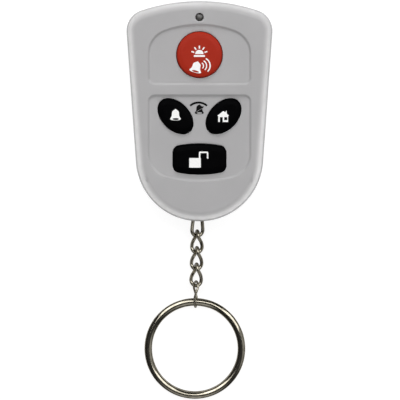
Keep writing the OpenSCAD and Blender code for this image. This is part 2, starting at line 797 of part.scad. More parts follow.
// Strap round the cell's side with a foot under the board at either end
module positive_contact() {
    r_in = cell_d / 2 + slide_gap / 2;
    strap_z = rim_top + 2 * slide_gap;
    strap_top = cell_top - cell_chamfer;
    foot_l = 3;
    color("gold") {
        cell_sector(r_in, r_in + strip_t, strap_z, strap_top, 0, 180);
        for (way = [-1, 1]) {
            y = cell_y + strip_w / 2;
            brick([way * (r_in + strip_t / 2), y], [strip_t, strip_w, board_z - strap_z], strap_z);
            brick([way * (r_in + foot_l / 2), y], [foot_l, strip_w, strip_t], board_z - strip_t);
        }
    }
}

// Leaf spring from the board down to the middle of the cell
module negative_contact() {
    foot_l = 3;
    leaf_l = 5;
    lip = 0.8;
    low = cell_top + slide_gap / 2 + strip_t;
    line = [[-foot_l, board_z], [0, board_z], [leaf_l, low], [leaf_l + lip, low + lip / 2]];
    color("gold") translate([-leaf_l / 2, cell_y + strip_w / 2, 0]) rotate([90, 0, 0])
        linear_extrude(strip_w) polygon(concat(line, [for (p = flip(line)) p - [0, strip_t]]));
}

module chain_pin() {
    color("silver") rod([pin_x, pin_y], pin_d, slot_z - pin_seat, slot_z + slot_h + pin_seat);
}

// Link between two contacts; each gap is measured from the contact to the wire's middle
module link(i, half_w, twist, gap_near, gap_far) {
    way = unit(contacts[i] - contacts[i - 1]);
    near = contacts[i - 1] - gap_near * way;
    far = contacts[i] + gap_far * way;
    color("silver") skin(link_sections(near, far, half_w, twist), true);
}

module chain_link_1() { link(1, first_half_w, first_twist, wire_d / 2 + slide_gap, half_gap); }
module chain_link_2() { link(2, curb_half_w, curb_twist, half_gap, half_gap); }
module chain_link_3() { link(3, curb_half_w, curb_twist, half_gap, half_gap); }
module chain_link_4() { link(4, curb_half_w, curb_twist, half_gap, half_gap); }
module end_link() { link(5, end_half_w, end_twist, half_gap, wire_d / 2 + ring_gap); }

module split_ring() {
    count = ceil((ring_end - ring_start) / ring_segment);
    angles = [for (i = [0:count]) ring_start + (ring_end - ring_start) * i / count];
    overlap = [for (a = angles) if (a + 360 <= ring_end) band_height(a) - band_height(a + 360)];
    echo(str("least gap between the ring's turns: ", min(overlap) - turn_t, " mm"));
    color("silver") translate([ring_centre.x, ring_centre.y, (stand_z + ring_half_h + lie_gap) / 2])
        rotate([0, 0, -chain_lean]) rotate([ring_tilt, 0, 0])
            skin([for (a = angles) [for (q = band_section())
                [(band_r + q.x) * cos(a), (band_r + q.x) * sin(a), band_height(a) + q.y]]], false);
}

front_shell();
rear_shell();
battery_cover();
housing_screws();
panic_button();
arm_button();
home_button();
disarm_button();
panic_switch_base();
arm_switch_base();
home_switch_base();
disarm_switch_base();
panic_switch_plunger();
arm_switch_plunger();
home_switch_plunger();
disarm_switch_plunger();
led_light_pipe();
indicator_led();
circuit_board();
loop_antenna();
encoder_chip();
saw_resonator();
rf_transistor();
chip_resistors();
chip_capacitors();
coin_cell();
positive_contact();
negative_contact();
chain_pin();
chain_link_1();
chain_link_2();
chain_link_3();
chain_link_4();
end_link();
split_ring();
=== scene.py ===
# %% [markdown]
# # Alarm key fob
# A grey moulded case with four keys, a smoked lamp window, a curb chain and a nickel split ring.
# The solids come from CAD and stay the fixed frame. Blender gives the pieces that show their soft
# edges, their prints and their finishes, and every new piece rides on the body that carries it.

# %% Load the frame
import json
import math

import bmesh
import bpy
from mathutils import Matrix, Vector

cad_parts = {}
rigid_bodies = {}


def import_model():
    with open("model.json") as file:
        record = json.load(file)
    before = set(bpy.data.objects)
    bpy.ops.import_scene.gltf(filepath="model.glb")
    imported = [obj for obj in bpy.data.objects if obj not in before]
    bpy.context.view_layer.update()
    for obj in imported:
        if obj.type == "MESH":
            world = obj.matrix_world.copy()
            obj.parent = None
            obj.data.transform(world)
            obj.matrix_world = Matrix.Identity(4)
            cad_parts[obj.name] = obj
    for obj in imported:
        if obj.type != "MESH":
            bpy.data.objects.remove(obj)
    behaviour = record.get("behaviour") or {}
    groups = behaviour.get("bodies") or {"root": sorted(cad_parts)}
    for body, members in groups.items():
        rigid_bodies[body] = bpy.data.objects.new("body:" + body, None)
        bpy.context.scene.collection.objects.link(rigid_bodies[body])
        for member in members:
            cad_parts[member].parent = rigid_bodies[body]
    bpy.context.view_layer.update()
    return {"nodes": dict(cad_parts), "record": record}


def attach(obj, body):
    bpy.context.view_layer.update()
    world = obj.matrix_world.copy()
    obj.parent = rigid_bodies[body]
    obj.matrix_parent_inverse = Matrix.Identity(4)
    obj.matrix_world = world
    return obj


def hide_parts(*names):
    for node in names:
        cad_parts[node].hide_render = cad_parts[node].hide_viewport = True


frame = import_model()
scene = bpy.context.scene
MM = 0.001

# %% [markdown]
# ## Camera
# The photograph looks straight down on the keys with a long lens, so that the ring on the table and
# the keys above it keep nearly the same scale. A very long lens far away does the same here. Sizes
# are written in millimetres, and MM turns them into Blender's metres.

# %% Camera
LENS, SENSOR = 1200, 36
VIEW_WIDTH = 110.9 * MM
VIEW_CENTRE = (0.14 * MM, -24.64 * MM)
TRUE_SCALE_Z = 9 * MM
CLIP_END = 20

camera_data = bpy.data.cameras.new("photo_camera")
camera_data.lens = LENS
camera_data.sensor_width = SENSOR
camera_data.clip_end = CLIP_END
camera = bpy.data.objects.new("photo_camera", camera_data)
camera.location = (*VIEW_CENTRE, VIEW_WIDTH * LENS / SENSOR + TRUE_SCALE_Z)
scene.collection.objects.link(camera)
scene.camera = camera
print("camera height:", round(camera.location.z, 3), "m")

# %% [markdown]
# ## Drawing outlines
# Nearly every piece of this fob is a flat outline that was pushed up or down in a mould. By hand, such
# an outline is drawn by spinning one vertex about the centre of each arc and extruding it along the
# straight lines between them. Sharp corners are given as plain points. A positive spin turns
# clockwise, so the angle changes sign.

# %% Outline tools
SAME = 0.002
OVAL_POINTS = 96


def begin(name):
    """Opens an empty mesh at the origin in edit mode, with nothing else selected."""
    bpy.ops.object.select_all(action="DESELECT")
    bpy.ops.mesh.primitive_circle_add(vertices=3, radius=MM)
    piece = bpy.context.object
    piece.name = name
    piece.data.name = name
    bpy.ops.object.mode_set(mode="EDIT")
    bpy.ops.mesh.select_all(action="SELECT")
    bpy.ops.mesh.delete(type="VERT")
    return piece


def spot(centre, radius, angle, z):
    """Point on an arc, in metres."""
    turn = math.radians(angle)
    x = centre[0] + radius * math.cos(turn)
    y = centre[1] + radius * math.sin(turn)
    return Vector((x, y, z)) * MM


def face_up():
    """Turns the selected face so that it looks up."""
    bpy.ops.mesh.select_mode(type="FACE")
    mesh = bmesh.from_edit_mesh(bpy.context.object.data)
    if any(face.select and face.normal.z < 0 for face in mesh.faces):
        bpy.ops.mesh.flip_normals()


def draw(strokes, z):
    """Draws a closed outline at a height and fills it with one face. A stroke is a corner (x, y)
    or an arc (centre, radius, from, to, steps)."""
    bpy.ops.mesh.select_mode(type="VERT")
    bpy.ops.mesh.select_all(action="DESELECT")
    here = None
    for stroke in strokes:
        corner = len(stroke) == 2
        first = Vector((*stroke, z)) * MM if corner else spot(*stroke[:3], z)
        if here is None:
            bpy.ops.mesh.primitive_circle_add(vertices=3, radius=0.1 * MM, location=first)
            bpy.ops.mesh.merge(type="CENTER")
        elif (first - here).length > SAME * MM:
            bpy.ops.mesh.extrude_vertices_move(TRANSFORM_OT_translate={"value": first - here})
        here = first
        if not corner:
            centre, radius, start, end, steps = stroke
            middle = Vector((*centre, z)) * MM
            spun = math.radians(start - end)
            bpy.ops.mesh.spin(steps=steps, angle=spun, center=middle, axis=(0, 0, 1))
            here = spot(centre, radius, end, z)
    bpy.ops.mesh.select_linked()
    bpy.ops.mesh.edge_face_add()
    face_up()


def draw_circle(place, radius, z, points):
    """Draws a filled circle."""
    bpy.ops.mesh.select_mode(type="FACE")
    bpy.ops.mesh.select_all(action="DESELECT")
    middle = Vector((*place, z)) * MM
    bpy.ops.mesh.primitive_circle_add(vertices=points, radius=radius * MM, fill_type="NGON", location=middle)
    face_up()


def draw_oval(place, long_r, short_r, tilt, z):
    """Draws a circle, and stretches and turns it into an oval."""
    draw_circle(place, long_r, z, OVAL_POINTS)
    middle = Vector((*place, z)) * MM
    bpy.ops.transform.resize(value=(1, short_r / long_r, 1), center_override=middle)
    bpy.ops.transform.rotate(value=-math.radians(tilt), orient_axis="Z", center_override=middle)


print("outline tools ready")

# %% [markdown]
# ## Raising a face
# One inset that also moves the face up or down is a single step of a wall, a rounding or a soft slope.
# A row of such steps turns the flat outline into a moulded form with an even offset everywhere, which
# scaling could not give. An inset needs some width, so even a straight wall leans in by a hair.

# %% Raising tools
THIN_LEAN, LEAN = 0.002, 0.01
LIP_R = 0.14


def rise(steps):
    """Insets the selected face step by step. A step is (inwards, upwards) in millimetres."""
    for inwards, upwards in steps:
        bpy.ops.mesh.inset(thickness=inwards * MM, depth=upwards * MM,
                           use_boundary=True, use_even_offset=True)


def rounded(radius, count, way=1):
    """Steps of a quarter round from a wall to the flat face."""
    turns = [math.radians(90 * i / count) for i in range(count + 1)]
    return [(radius * (math.cos(a) - math.cos(b)), way * radius * (math.sin(b) - math.sin(a)))
            for a, b in zip(turns, turns[1:])]


def lip(radius, way):
    """Steps of a quarter round from a flat face into an opening: a rounding with its moves swapped."""
    return [(upwards, way * inwards) for inwards, upwards in rounded(radius, 3)]


def slope(width, height, count):
    """Steps of a soft S-shaped slope."""
    shares = [i / count for i in range(count + 1)]
    heights = [height * s * s * (3 - 2 * s) for s in shares]
    return [(width / count, b - a) for a, b in zip(heights, heights[1:])]


def sink(depth):
    """Takes the selected face up, or down if the depth is negative, over a rounded lip."""
    way = 1 if depth > 0 else -1
    rise(lip(LIP_R, way) + [(THIN_LEAN, depth - way * LIP_R)])


print("raising tools ready")

# %% [markdown]
# A punched opening leaves an open loop. The openings could be cut with booleans, but it is cleaner to
# close a flat area at the end, by filling between its outer loop and the loops inside it. Walls are
# drawn out of a loop too. Loops are picked by their height.

# %% Loop tools
def punch():
    """Takes the selected face away and leaves its rim as a loop."""
    bpy.ops.mesh.delete(type="ONLY_FACE")


def pick_loops(z, low=-math.inf, high=math.inf):
    """Selects the open edges at a height, between two places along the case."""
    bpy.ops.mesh.select_mode(type="EDGE")
    bpy.ops.mesh.select_all(action="DESELECT")
    data = bpy.context.object.data
    for edge in bmesh.from_edit_mesh(data).edges:
        ends = [v.co / MM for v in edge.verts]
        level = all(abs(p.z - z) < SAME and low < p.y < high for p in ends)
        edge.select_set(level and not edge.is_manifold)
    bmesh.update_edit_mesh(data)


def fill_between(z, low=-math.inf, high=math.inf):
    """Closes a flat area between its outer loop and the loops inside it."""
    pick_loops(z, low, high)
    bpy.ops.mesh.fill(use_beauty=True)


def cap(z):
    """Closes one loop with one face."""
    pick_loops(z)
    bpy.ops.mesh.edge_face_add()


def extend(z, to_z):
    """Draws the open loops at a height out into walls that end at another height."""
    pick_loops(z)
    bpy.ops.mesh.extrude_edges_move(TRANSFORM_OT_translate={"value": (0, 0, (to_z - z) * MM)})


print("loop tools ready")

# %% [markdown]
# A finished mesh leaves edit mode with its faces outwards. It is shaded smooth up to an angle, and its
# normals follow the larger faces, which keeps flat areas flat beside small roundings.

# %% Finishing tools
SOFT_ANGLE = 32


def only(piece):
    """Selects one piece alone and makes it the active one."""
    bpy.ops.object.select_all(action="DESELECT")
    piece.select_set(True)
    bpy.context.view_layer.objects.active = piece


def leave_edit():
    """Turns all faces outwards and leaves edit mode."""
    bpy.ops.mesh.select_all(action="SELECT")
    bpy.ops.mesh.normals_make_consistent(inside=False)
    bpy.ops.object.mode_set(mode="OBJECT")


def smooth(piece, angle=SOFT_ANGLE):
    """Smooth shading up to an angle, with normals that follow the larger faces."""
    only(piece)
    bpy.ops.object.shade_smooth_by_angle(angle=math.radians(angle))
    weighted = piece.modifiers.new("weighted", "WEIGHTED_NORMAL")
    weighted.keep_sharp = True
    bpy.ops.object.modifier_apply(modifier=weighted.name)


def done(piece):
    """Leaves edit mode with a finished piece."""
    bpy.ops.mesh.select_mode(type="FACE")
    leave_edit()
    smooth(piece)


print("finishing tools ready")

# %% [markdown]
# Cuts that lie across other edges are easier as booleans, with a straight block as the tool. The block is
# an outline too, extruded once.

# %% Cutting tools
def boolean(piece, tool, operation):
    """Joins a tool to a piece or cuts it out, and removes the tool."""
    only(piece)
    step = piece.modifiers.new("step", "BOOLEAN")
    step.operation = operation
    step.solver = "EXACT"
    step.object = tool
    bpy.ops.object.modifier_apply(modifier=step.name)
    bpy.data.objects.remove(tool)


def block(name, strokes, low, high):
    """A straight closed block over an outline, to join or to cut with."""
    piece = begin(name)
    draw(strokes, low)
    bpy.ops.mesh.extrude_region_move(TRANSFORM_OT_translate={"value": (0, 0, (high - low) * MM)})
    leave_edit()
    return piece


print("cutting tools ready")

# %% [markdown]
# ## Outlines of the case, the panels and the keys
# The case is a round tail, two straight sides that open slightly, two round corners and a gently bowed
# lamp end. All arcs meet in tangents, so their angles follow from their centres and radii, and a margin
# grows or shrinks a whole outline by the same amount.

# %% Outline of the case
TAIL_Y, TAIL_R = -12.85, 17.7
CORNER_X, CORNER_Y, CORNER_R = 14.25, 22.25, 6
BOW_Y, BOW_R = -20.75, 51.3
CASE_W = 2 * (CORNER_X + CORNER_R)
CASE_L = BOW_Y + BOW_R - TAIL_Y + TAIL_R
corner_up = CORNER_Y - TAIL_Y
corner_far = math.hypot(CORNER_X, corner_up)
side_turn = math.atan2(corner_up, CORNER_X) - math.acos((TAIL_R - CORNER_R) / corner_far)
SIDE_ANGLE = math.degrees(side_turn)
BOW_ANGLE = math.degrees(math.atan2(CORNER_Y - BOW_Y, CORNER_X))


def case_outline(margin):
    """Outline of the case: tail, right corner, lamp end and left corner."""
    return [
        ((0, TAIL_Y), TAIL_R + margin, 180 - SIDE_ANGLE, 360 + SIDE_ANGLE, 60),
        ((CORNER_X, CORNER_Y), CORNER_R + margin, SIDE_ANGLE, BOW_ANGLE, 14),
        ((0, BOW_Y), BOW_R + margin, BOW_ANGLE, 180 - BOW_ANGLE, 20),
        ((-CORNER_X, CORNER_Y), CORNER_R + margin, 180 - BOW_ANGLE, 180 - SIDE_ANGLE, 14),
    ]


print("case:", CASE_W, "x", round(CASE_L, 2), "mm")

# %% [markdown]
# Each panel has one straight and one bowed end. Three values give it: the place of its straight end, the
# place of its bow's top, and the bow's radius. The keys are a circle, two tilted ovals and a wide one
# with two bowed sides. Such lines could be traced from the picture, but arcs with real radii stay
# smooth at any size.

# %% Outlines of the panels and the keys
PANEL_W, PANEL_BOW_CORNER, PANEL_CORNER = 28.15, 6.7, 1.7
UPPER_PANEL = (7.5, 23.9, 28.2)
LOWER_PANEL = (4.3, -19.25, 41)
KEYS = ["panic", "arm", "home", "disarm"]
ROUND_KEY, ROUND_R, ROUND_POINTS = (0, 15.6), 6.35, 128
OVAL_SIDE = {"arm": -1, "home": 1}
OVAL_X, OVAL_Y, OVAL_LONG, OVAL_SHORT, OVAL_TILT = 6.65, -1.45, 5.775, 3.75, 45
WIDE_KEY, WIDE_W, WIDE_H = (0, -13.3), 14.7, 8.4
WIDE_BOW_R, WIDE_CORNER = 30.9, 1.9


def bowed_end(half_w, apex_y, bow_r, corner_r):
    """Arcs of a bowed end: right corner, bow and left corner."""
    bow_y = apex_y - bow_r
    x = half_w - corner_r
    y = bow_y + math.sqrt((bow_r - corner_r) ** 2 - x ** 2)
    turn = math.degrees(math.atan2(y - bow_y, x))
    return [
        ((x, y), corner_r, 0, turn, 10),
        ((0, bow_y), bow_r, turn, 180 - turn, 20),
        ((-x, y), corner_r, 180 - turn, 180, 10),
    ]


def panel_outline(panel, margin):
    """Outline from the straight end to the bowed end, which may look up or down."""
    straight, apex, bow_r = panel
    way = 1 if apex > straight else -1
    near = PANEL_W / 2 - PANEL_CORNER
    arcs = [
        ((near, PANEL_CORNER), PANEL_CORNER, -90, 0, 8),
        *bowed_end(PANEL_W / 2, abs(apex - straight), bow_r, PANEL_BOW_CORNER),
        ((-near, PANEL_CORNER), PANEL_CORNER, 180, 270, 8),
    ]
    return [((x, straight + way * y), r + margin, way * a, way * b, n) for (x, y), r, a, b, n in arcs]


def wide_outline(margin):
    """Outline of the wide key: bowed long sides, straight ends and round corners."""
    arcs = bowed_end(WIDE_W / 2, WIDE_H / 2, WIDE_BOW_R, WIDE_CORNER)
    arcs += [((-x, -y), r, a + 180, b + 180, n) for (x, y), r, a, b, n in arcs]
    return [((x + WIDE_KEY[0], y + WIDE_KEY[1]), r + margin, a, b, n) for (x, y), r, a, b, n in arcs]


def draw_key(key, margin, z):
    """Draws the outline of one of the four keys, grown by a margin."""
    if key == "panic":
        draw_circle(ROUND_KEY, ROUND_R + margin, z, ROUND_POINTS)
    elif key in OVAL_SIDE:
        side = OVAL_SIDE[key]
        draw_oval((side * OVAL_X, OVAL_Y), OVAL_LONG + margin, OVAL_SHORT + margin, side * OVAL_TILT, z)
    else:
        draw(wide_outline(margin), z)


print("keys:", KEYS)

# %% [markdown]
# ## Front shell
# The upper half of the case is one moulding. Its wall leans in a little towards the rounded front edge,
# so that it leaves the mould. Two shallow panels are let into the face with soft steps, which catch a
# light line at their lower edge and a dark one at their upper edge. The whole skin grows from one face
# by insets, and the openings are punched before the flat areas are filled.

# %% Front shell
PARTING_Z, ROOF_Z, RECESS_Z, FACE_Z = 6.2, 10.95, 12.55, 13.0
WALL, DRAFT, FACE_R, SEAM = 1.8, 0.25, 2.4, 0.16
STEP_W, KEY_GAP = 0.8, 0.15
LAMP, LAMP_HOLE_R, LAMP_POINTS = (0, 26), 1.15, 48
BRIDGE_Y = (UPPER_PANEL[0] + LOWER_PANEL[0]) / 2

front = begin("front_shell_moulding")
draw(case_outline(0), PARTING_Z + SEAM)
rise([(DRAFT, FACE_Z - FACE_R - PARTING_Z - SEAM)] + rounded(FACE_R, 12))
punch()
for panel in (UPPER_PANEL, LOWER_PANEL):
    draw(panel_outline(panel, STEP_W / 2), FACE_Z)
    rise(slope(STEP_W, RECESS_Z - FACE_Z, 7))
    punch()
for key in KEYS:
    draw_key(key, KEY_GAP + LIP_R, RECESS_Z)
    sink(ROOF_Z - RECESS_Z)
    punch()
draw_circle(LAMP, LAMP_HOLE_R + LIP_R, FACE_Z, LAMP_POINTS)
sink(ROOF_Z - FACE_Z)
punch()
fill_between(FACE_Z)
fill_between(RECESS_Z, low=BRIDGE_Y)
fill_between(RECESS_Z, high=BRIDGE_Y)
print("front shell: outside done")

# %% [markdown]
# The shell is hollow, and its wall shows through the fine gaps round the keys. The roof's underside is
# filled between the openings and the inner wall, the inner wall comes down to the parting line, and a
# last ring of faces closes the rim.

# %% Inside of the front shell
def seam_edge(z):
    """Draws the open rim at the parting line in, so that the two shells meet in a fine groove."""
    extend(z, PARTING_Z)
    shrink = (1 - 2 * SEAM / CASE_W, 1 - 2 * SEAM / CASE_L, 1)
    bpy.ops.transform.resize(value=shrink, center_override=(0, 0, 0))


draw(case_outline(-WALL), ROOF_Z)
punch()
fill_between(ROOF_Z)
extend(ROOF_Z, PARTING_Z)
seam_edge(PARTING_Z + SEAM)
fill_between(PARTING_Z)
done(front)
print("front shell:", len(front.data.polygons), "faces")

# %% [markdown]
# The outer edge and the lips round the keys take a painted highlight, most at the tail and on the left
# side and least at the lamp end. Their steep walls take painted shade, and the groove at the parting
# line is painted dark. One number at each vertex says so, and the finish of the plastic reads it later.
# The panels and their steps stay unmarked.

# %% Painted highlight and shade on the edges
# Marks for painted highlight (sides, tail, lips), painted shade (walls) and the dark groove.
HIGHLIGHT_AND_SHADE_MARKS = {"left": 0.94, "right": 0.66, "tail": 1, "lips": 0.9, "walls": 0.1, "groove": -1}
LAMP_END_LESS = 0.74
TAIL_FADE, LAMP_END_FADE = (-5, -17), (21, 27)
PANEL_MARGIN = 0.6


def share_of(value, start, end):
    """How far a value has come from a start to an end, from 0 to 1."""
    return min(1, max(0, (value - start) / (end - start)))


def rim_mark(x, y, z, highlight_level):
    """Painted highlight at a point, from 0 to 1, or -1 in the groove, which is painted dark."""
    beside = abs(x) > PANEL_W / 2 + PANEL_MARGIN
    beyond = y > UPPER_PANEL[1] + PANEL_MARGIN or y < LOWER_PANEL[1] - PANEL_MARGIN
    # The groove is painted dark; the walls beside it take the small mark that gives painted shade.
    if abs(z - PARTING_Z) < SEAM / 2:
        return HIGHLIGHT_AND_SHADE_MARKS["groove"]
    if abs(z - PARTING_Z) < 2 * SEAM:
        return HIGHLIGHT_AND_SHADE_MARKS["walls"]
    # Painted highlight on the outer rounding, set per side; the steep walls there take painted shade.
    if beside or beyond:
        side = HIGHLIGHT_AND_SHADE_MARKS["right"] if x > 0 else HIGHLIGHT_AND_SHADE_MARKS["left"]
        side += (HIGHLIGHT_AND_SHADE_MARKS["tail"] - side) * share_of(y, *TAIL_FADE)
        return max(HIGHLIGHT_AND_SHADE_MARKS["walls"], highlight_level * side * (1 - LAMP_END_LESS * share_of(y, *LAMP_END_FADE)))
    # Painted highlight on the lips round the keys.
    if RECESS_Z - LIP_R - SAME < z < RECESS_Z - SAME:
        return HIGHLIGHT_AND_SHADE_MARKS["lips"]
    return 0


def mark_rim(piece, highlight_level):
    """Writes the marks of a shell into an attribute."""
    marks = piece.data.attributes.new("rim", "FLOAT", "POINT")
    for mark, vertex in zip(marks.data, piece.data.vertices):
        mark.value = rim_mark(*(vertex.co / MM), highlight_level)


mark_rim(front, 1)
print("marked vertices:", len(front.data.vertices))

# %% [markdown]
# ## Rear shell
# The lower half carries the battery opening with its three bayonet notches, the screw sinks, a bare
# label recess and the slot where the chain is pinned. It is drawn from the parting line down, in the
# same way as the front. The notches and the slot lie across other edges, so they are cut with booleans.

# %% Rear shell
BACK_R, BACK_T = 1.6, 1.6
CELL, OPENING_R = (0, 13.5), 11.5
SCREWS = [(15.5, 21.5), (-15.5, 21.5), (0, -21.95)]
SINK_R, SINK_DEPTH, SCREW_POINTS = 2, 1.5, 40
LABEL, LABEL_W, LABEL_H, LABEL_CORNER = (0, -9.5), 17, 11, 1.2
LABEL_STEP, LABEL_DEPTH = 0.3, 0.2


def rounded_box(width, height, corner, centre, steps=8):
    """Outline of a box with round corners."""
    x, y = width / 2 - corner, height / 2 - corner
    places = [(x, -y, -90), (x, y, 0), (-x, y, 90), (-x, -y, 180)]
    return [((centre[0] + a, centre[1] + b), corner, turn, turn + 90, steps) for a, b, turn in places]


rear = begin("rear_shell_moulding")
draw(case_outline(0), PARTING_Z - SEAM)
rise([(DRAFT, BACK_R - PARTING_Z + SEAM)] + rounded(BACK_R, 8, -1))
punch()
draw_circle(CELL, OPENING_R + LIP_R, 0, ROUND_POINTS)
sink(BACK_T)
punch()
for place in SCREWS:
    draw_circle(place, SINK_R + LIP_R, 0, SCREW_POINTS)
    sink(SINK_DEPTH)
draw(rounded_box(LABEL_W, LABEL_H, LABEL_CORNER, LABEL), 0)
rise(slope(LABEL_STEP, LABEL_DEPTH, 4))
fill_between(0)
draw(case_outline(-WALL), BACK_T)
punch()
fill_between(BACK_T)
extend(BACK_T, PARTING_Z)
seam_edge(PARTING_Z - SEAM)
fill_between(PARTING_Z)
leave_edit()
print("rear shell:", len(rear.data.polygons), "faces before the cuts")

# %% [markdown]
# The chain's pin stands in a solid block inside the tail, and the first link swings in a slot through
# it. The block is joined to the shell, then the slot and the three notches are cut out. The back's rim
# takes a weaker painted highlight than the front's.

# %% Tail block, slot and notches
PIN = (-0.5, -29.5)
BLOCK_W, BLOCK_END_W, BLOCK_LOW, BLOCK_HIGH = 10.4, 6, 1.2, 5.4
BLOCK_FROM, BLOCK_BEND, BLOCK_TO = -24.5, -28.4, -29.3
SLOT_Z, SLOT_H, SLOT_W, SLOT_L, SLOT_CORNER, SLOT_OUT = 1.6, 2.6, 6.4, 10, 1.2, 2
LUG_ANGLES = [50, 170, 290]
NOTCH_R, NOTCH_FROM, NOTCH_TO, NOTCH_INTO = 12.75, -55, -25, 0.4
PAST = 1
BACK_HIGHLIGHT = 0.15


def sector(r_in, r_out, start, end, steps=12):
    """Outline of a ring's sector about the cell's middle."""
    return [(CELL, r_out, start, end, steps), (CELL, r_in, end, start, steps)]


left_side = [(-BLOCK_W / 2, BLOCK_FROM), (-BLOCK_W / 2, BLOCK_BEND), (-BLOCK_END_W / 2, BLOCK_TO)]
right_side = [(-x, y) for x, y in reversed(left_side)]
block_line = [(PIN[0] + x, y) for x, y in left_side + right_side]
boolean(rear, block("tail_block", block_line, BLOCK_LOW, BLOCK_HIGH), "UNION")
slot_line = rounded_box(SLOT_W, SLOT_L, SLOT_CORNER, (PIN[0], PIN[1] - SLOT_OUT))
boolean(rear, block("slot_tool", slot_line, SLOT_Z, SLOT_Z + SLOT_H), "DIFFERENCE")
for angle in LUG_ANGLES:
    notch_line = sector(OPENING_R - NOTCH_INTO, NOTCH_R, angle + NOTCH_FROM, angle + NOTCH_TO)
    boolean(rear, block("notch_tool", notch_line, -PAST, BACK_T + PAST), "DIFFERENCE")
smooth(rear)
# The rear shell takes a weaker painted highlight, and the same painted shade and dark groove.
mark_rim(rear, BACK_HIGHLIGHT)
print("rear shell:", len(rear.data.polygons), "faces")

# %% [markdown]
# ## Battery cover
# A round plate with a rim, three lugs and a slot for a coin. It turns in the rear shell by 40 degrees.
# The plate is drawn from its inner side down to the outside, with a rounded edge, a shallow ring and a
# sunk coin slot.

# %% Battery cover
COVER_R, COVER_Z, COVER_TOP, COVER_EDGE = 11.4, 0.1, 1.4, 0.3
TRACE_W, TRACE_SIDE, TRACE_DEPTH = 0.9, 0.25, 0.1
COIN_L, COIN_W, COIN_CORNER, COIN_LIP, COIN_DEPTH = 14, 1.6, 0.79, 0.12, 0.58

cover = begin("battery_cover_turned")
draw_circle(CELL, COVER_R, COVER_TOP, ROUND_POINTS)
rise([(LEAN, COVER_Z + COVER_EDGE - COVER_TOP)] + rounded(COVER_EDGE, 4, -1))
rise(slope(TRACE_SIDE, TRACE_DEPTH, 3) + [(TRACE_W, 0)] + slope(TRACE_SIDE, -TRACE_DEPTH, 3))
punch()
draw(rounded_box(COIN_L, COIN_W, COIN_CORNER, CELL, steps=10), COVER_Z)
rise(lip(COIN_LIP, 1) + [(2 * LEAN, COIN_DEPTH)])
fill_between(COVER_Z)
cap(COVER_TOP)
done(cover)
print("battery cover:", len(cover.data.polygons), "faces")

# %% [markdown]
# The rim and the lugs lie inside the case, so straight blocks over a ring's sector are enough. They are
# joined to the plate as one mesh. The rim's sector stops a hair short of a full turn, because it is
# drawn as one closed outline.

# %% Rim and lugs of the cover
RIM_R, RIM_LOW, RIM_TOP = 10.3, 1.0, 2.5
LUG_IN_R, LUG_OUT_R, LUG_LOW, LUG_HALF = 11, 12.6, 1.7, 13
ALL_ROUND = 359.99

rim = block("cover_rim", sector(RIM_R, COVER_R, 0, ALL_ROUND, 96), RIM_LOW, RIM_TOP)
lugs = [block(f"cover_lug_{i}", sector(LUG_IN_R, LUG_OUT_R, a - LUG_HALF, a + LUG_HALF), LUG_LOW, RIM_TOP)
        for i, a in enumerate(LUG_ANGLES)]
only(cover)
for part in (rim, *lugs):
    part.select_set(True)
bpy.ops.object.join()
print("battery cover with lugs:", len(cover.data.polygons), "faces")

# %% [markdown]
# ## Keys
# Each key is a smooth cap with a flange that keeps it in the case. The rim is rounded and the top rises
# in a shallow crown to a flat field that carries the print. The keys rise from their flange, step by
# step, in the same way as the case.

# %% Keys
KEY_TOP, KEY_EDGE = 13.35, 0.6
FLANGE_Z, FLANGE_T, FLANGE_W = 10.05, 0.8, 0.85
CROWN = [(0.35, 0.085), (0.3, 0.05), (0.25, 0.025), (0.2, 0.01)]
shoulder_z = KEY_TOP - sum(up for _, up in CROWN) - KEY_EDGE
caps = {}
for key in KEYS:
    caps[key] = begin(f"{key}_key_cap")
    draw_key(key, FLANGE_W, FLANGE_Z)
    rise([(LEAN, FLANGE_T), (FLANGE_W - LEAN, 0), (2 * LEAN, shoulder_z - FLANGE_Z - FLANGE_T)])
    rise(rounded(KEY_EDGE, 8) + CROWN)
    cap(FLANGE_Z)
    done(caps[key])
    print(key, "key:", len(caps[key].data.polygons), "faces")

# %% [markdown]
# ## Lamp window
# A short smoked light pipe fills the hole at the lamp end. Its end is a low dome just under the face. A
# bevelled cylinder would nearly do, but the steps that raise the keys give the dome as well.

# %% Lamp window
WINDOW_R, WINDOW_LOW, WINDOW_SHOULDER, WINDOW_EDGE = 1, 9.6, 12.6, 0.16
DOME = [(0.2, 0.05), (0.2, 0.035), (0.2, 0.02), (0.2, 0.01)]

window = begin("lamp_window")
draw_circle(LAMP, WINDOW_R, WINDOW_LOW, LAMP_POINTS)
rise([(LEAN, WINDOW_SHOULDER - WINDOW_LOW)] + rounded(WINDOW_EDGE, 4) + DOME)
cap(WINDOW_LOW)
done(window)
print("lamp window:", len(window.data.polygons), "faces")

# %% [markdown]
# ## Screws
# Three pan-head screws with a cross recess hold the shells together. One is modelled and copied twice.
# The cross is one arm, turned by a quarter three times.

# %% Screws
HEAD_R, HEAD_SEAT, HEAD_SIDE, HEAD_EDGE = 1.8, 1.5, 0.85, 0.45
HEAD_FACE = HEAD_SEAT - HEAD_SIDE - HEAD_EDGE
CROSS_ARM, CROSS_HALF = 0.95, 0.24
CROSS_STEPS = [(0.03, 0.05), (0.07, 0.6)]
SHANK_STEPS = [(0.8, 0), (0.02, 6.6), (0.4, 0.4)]

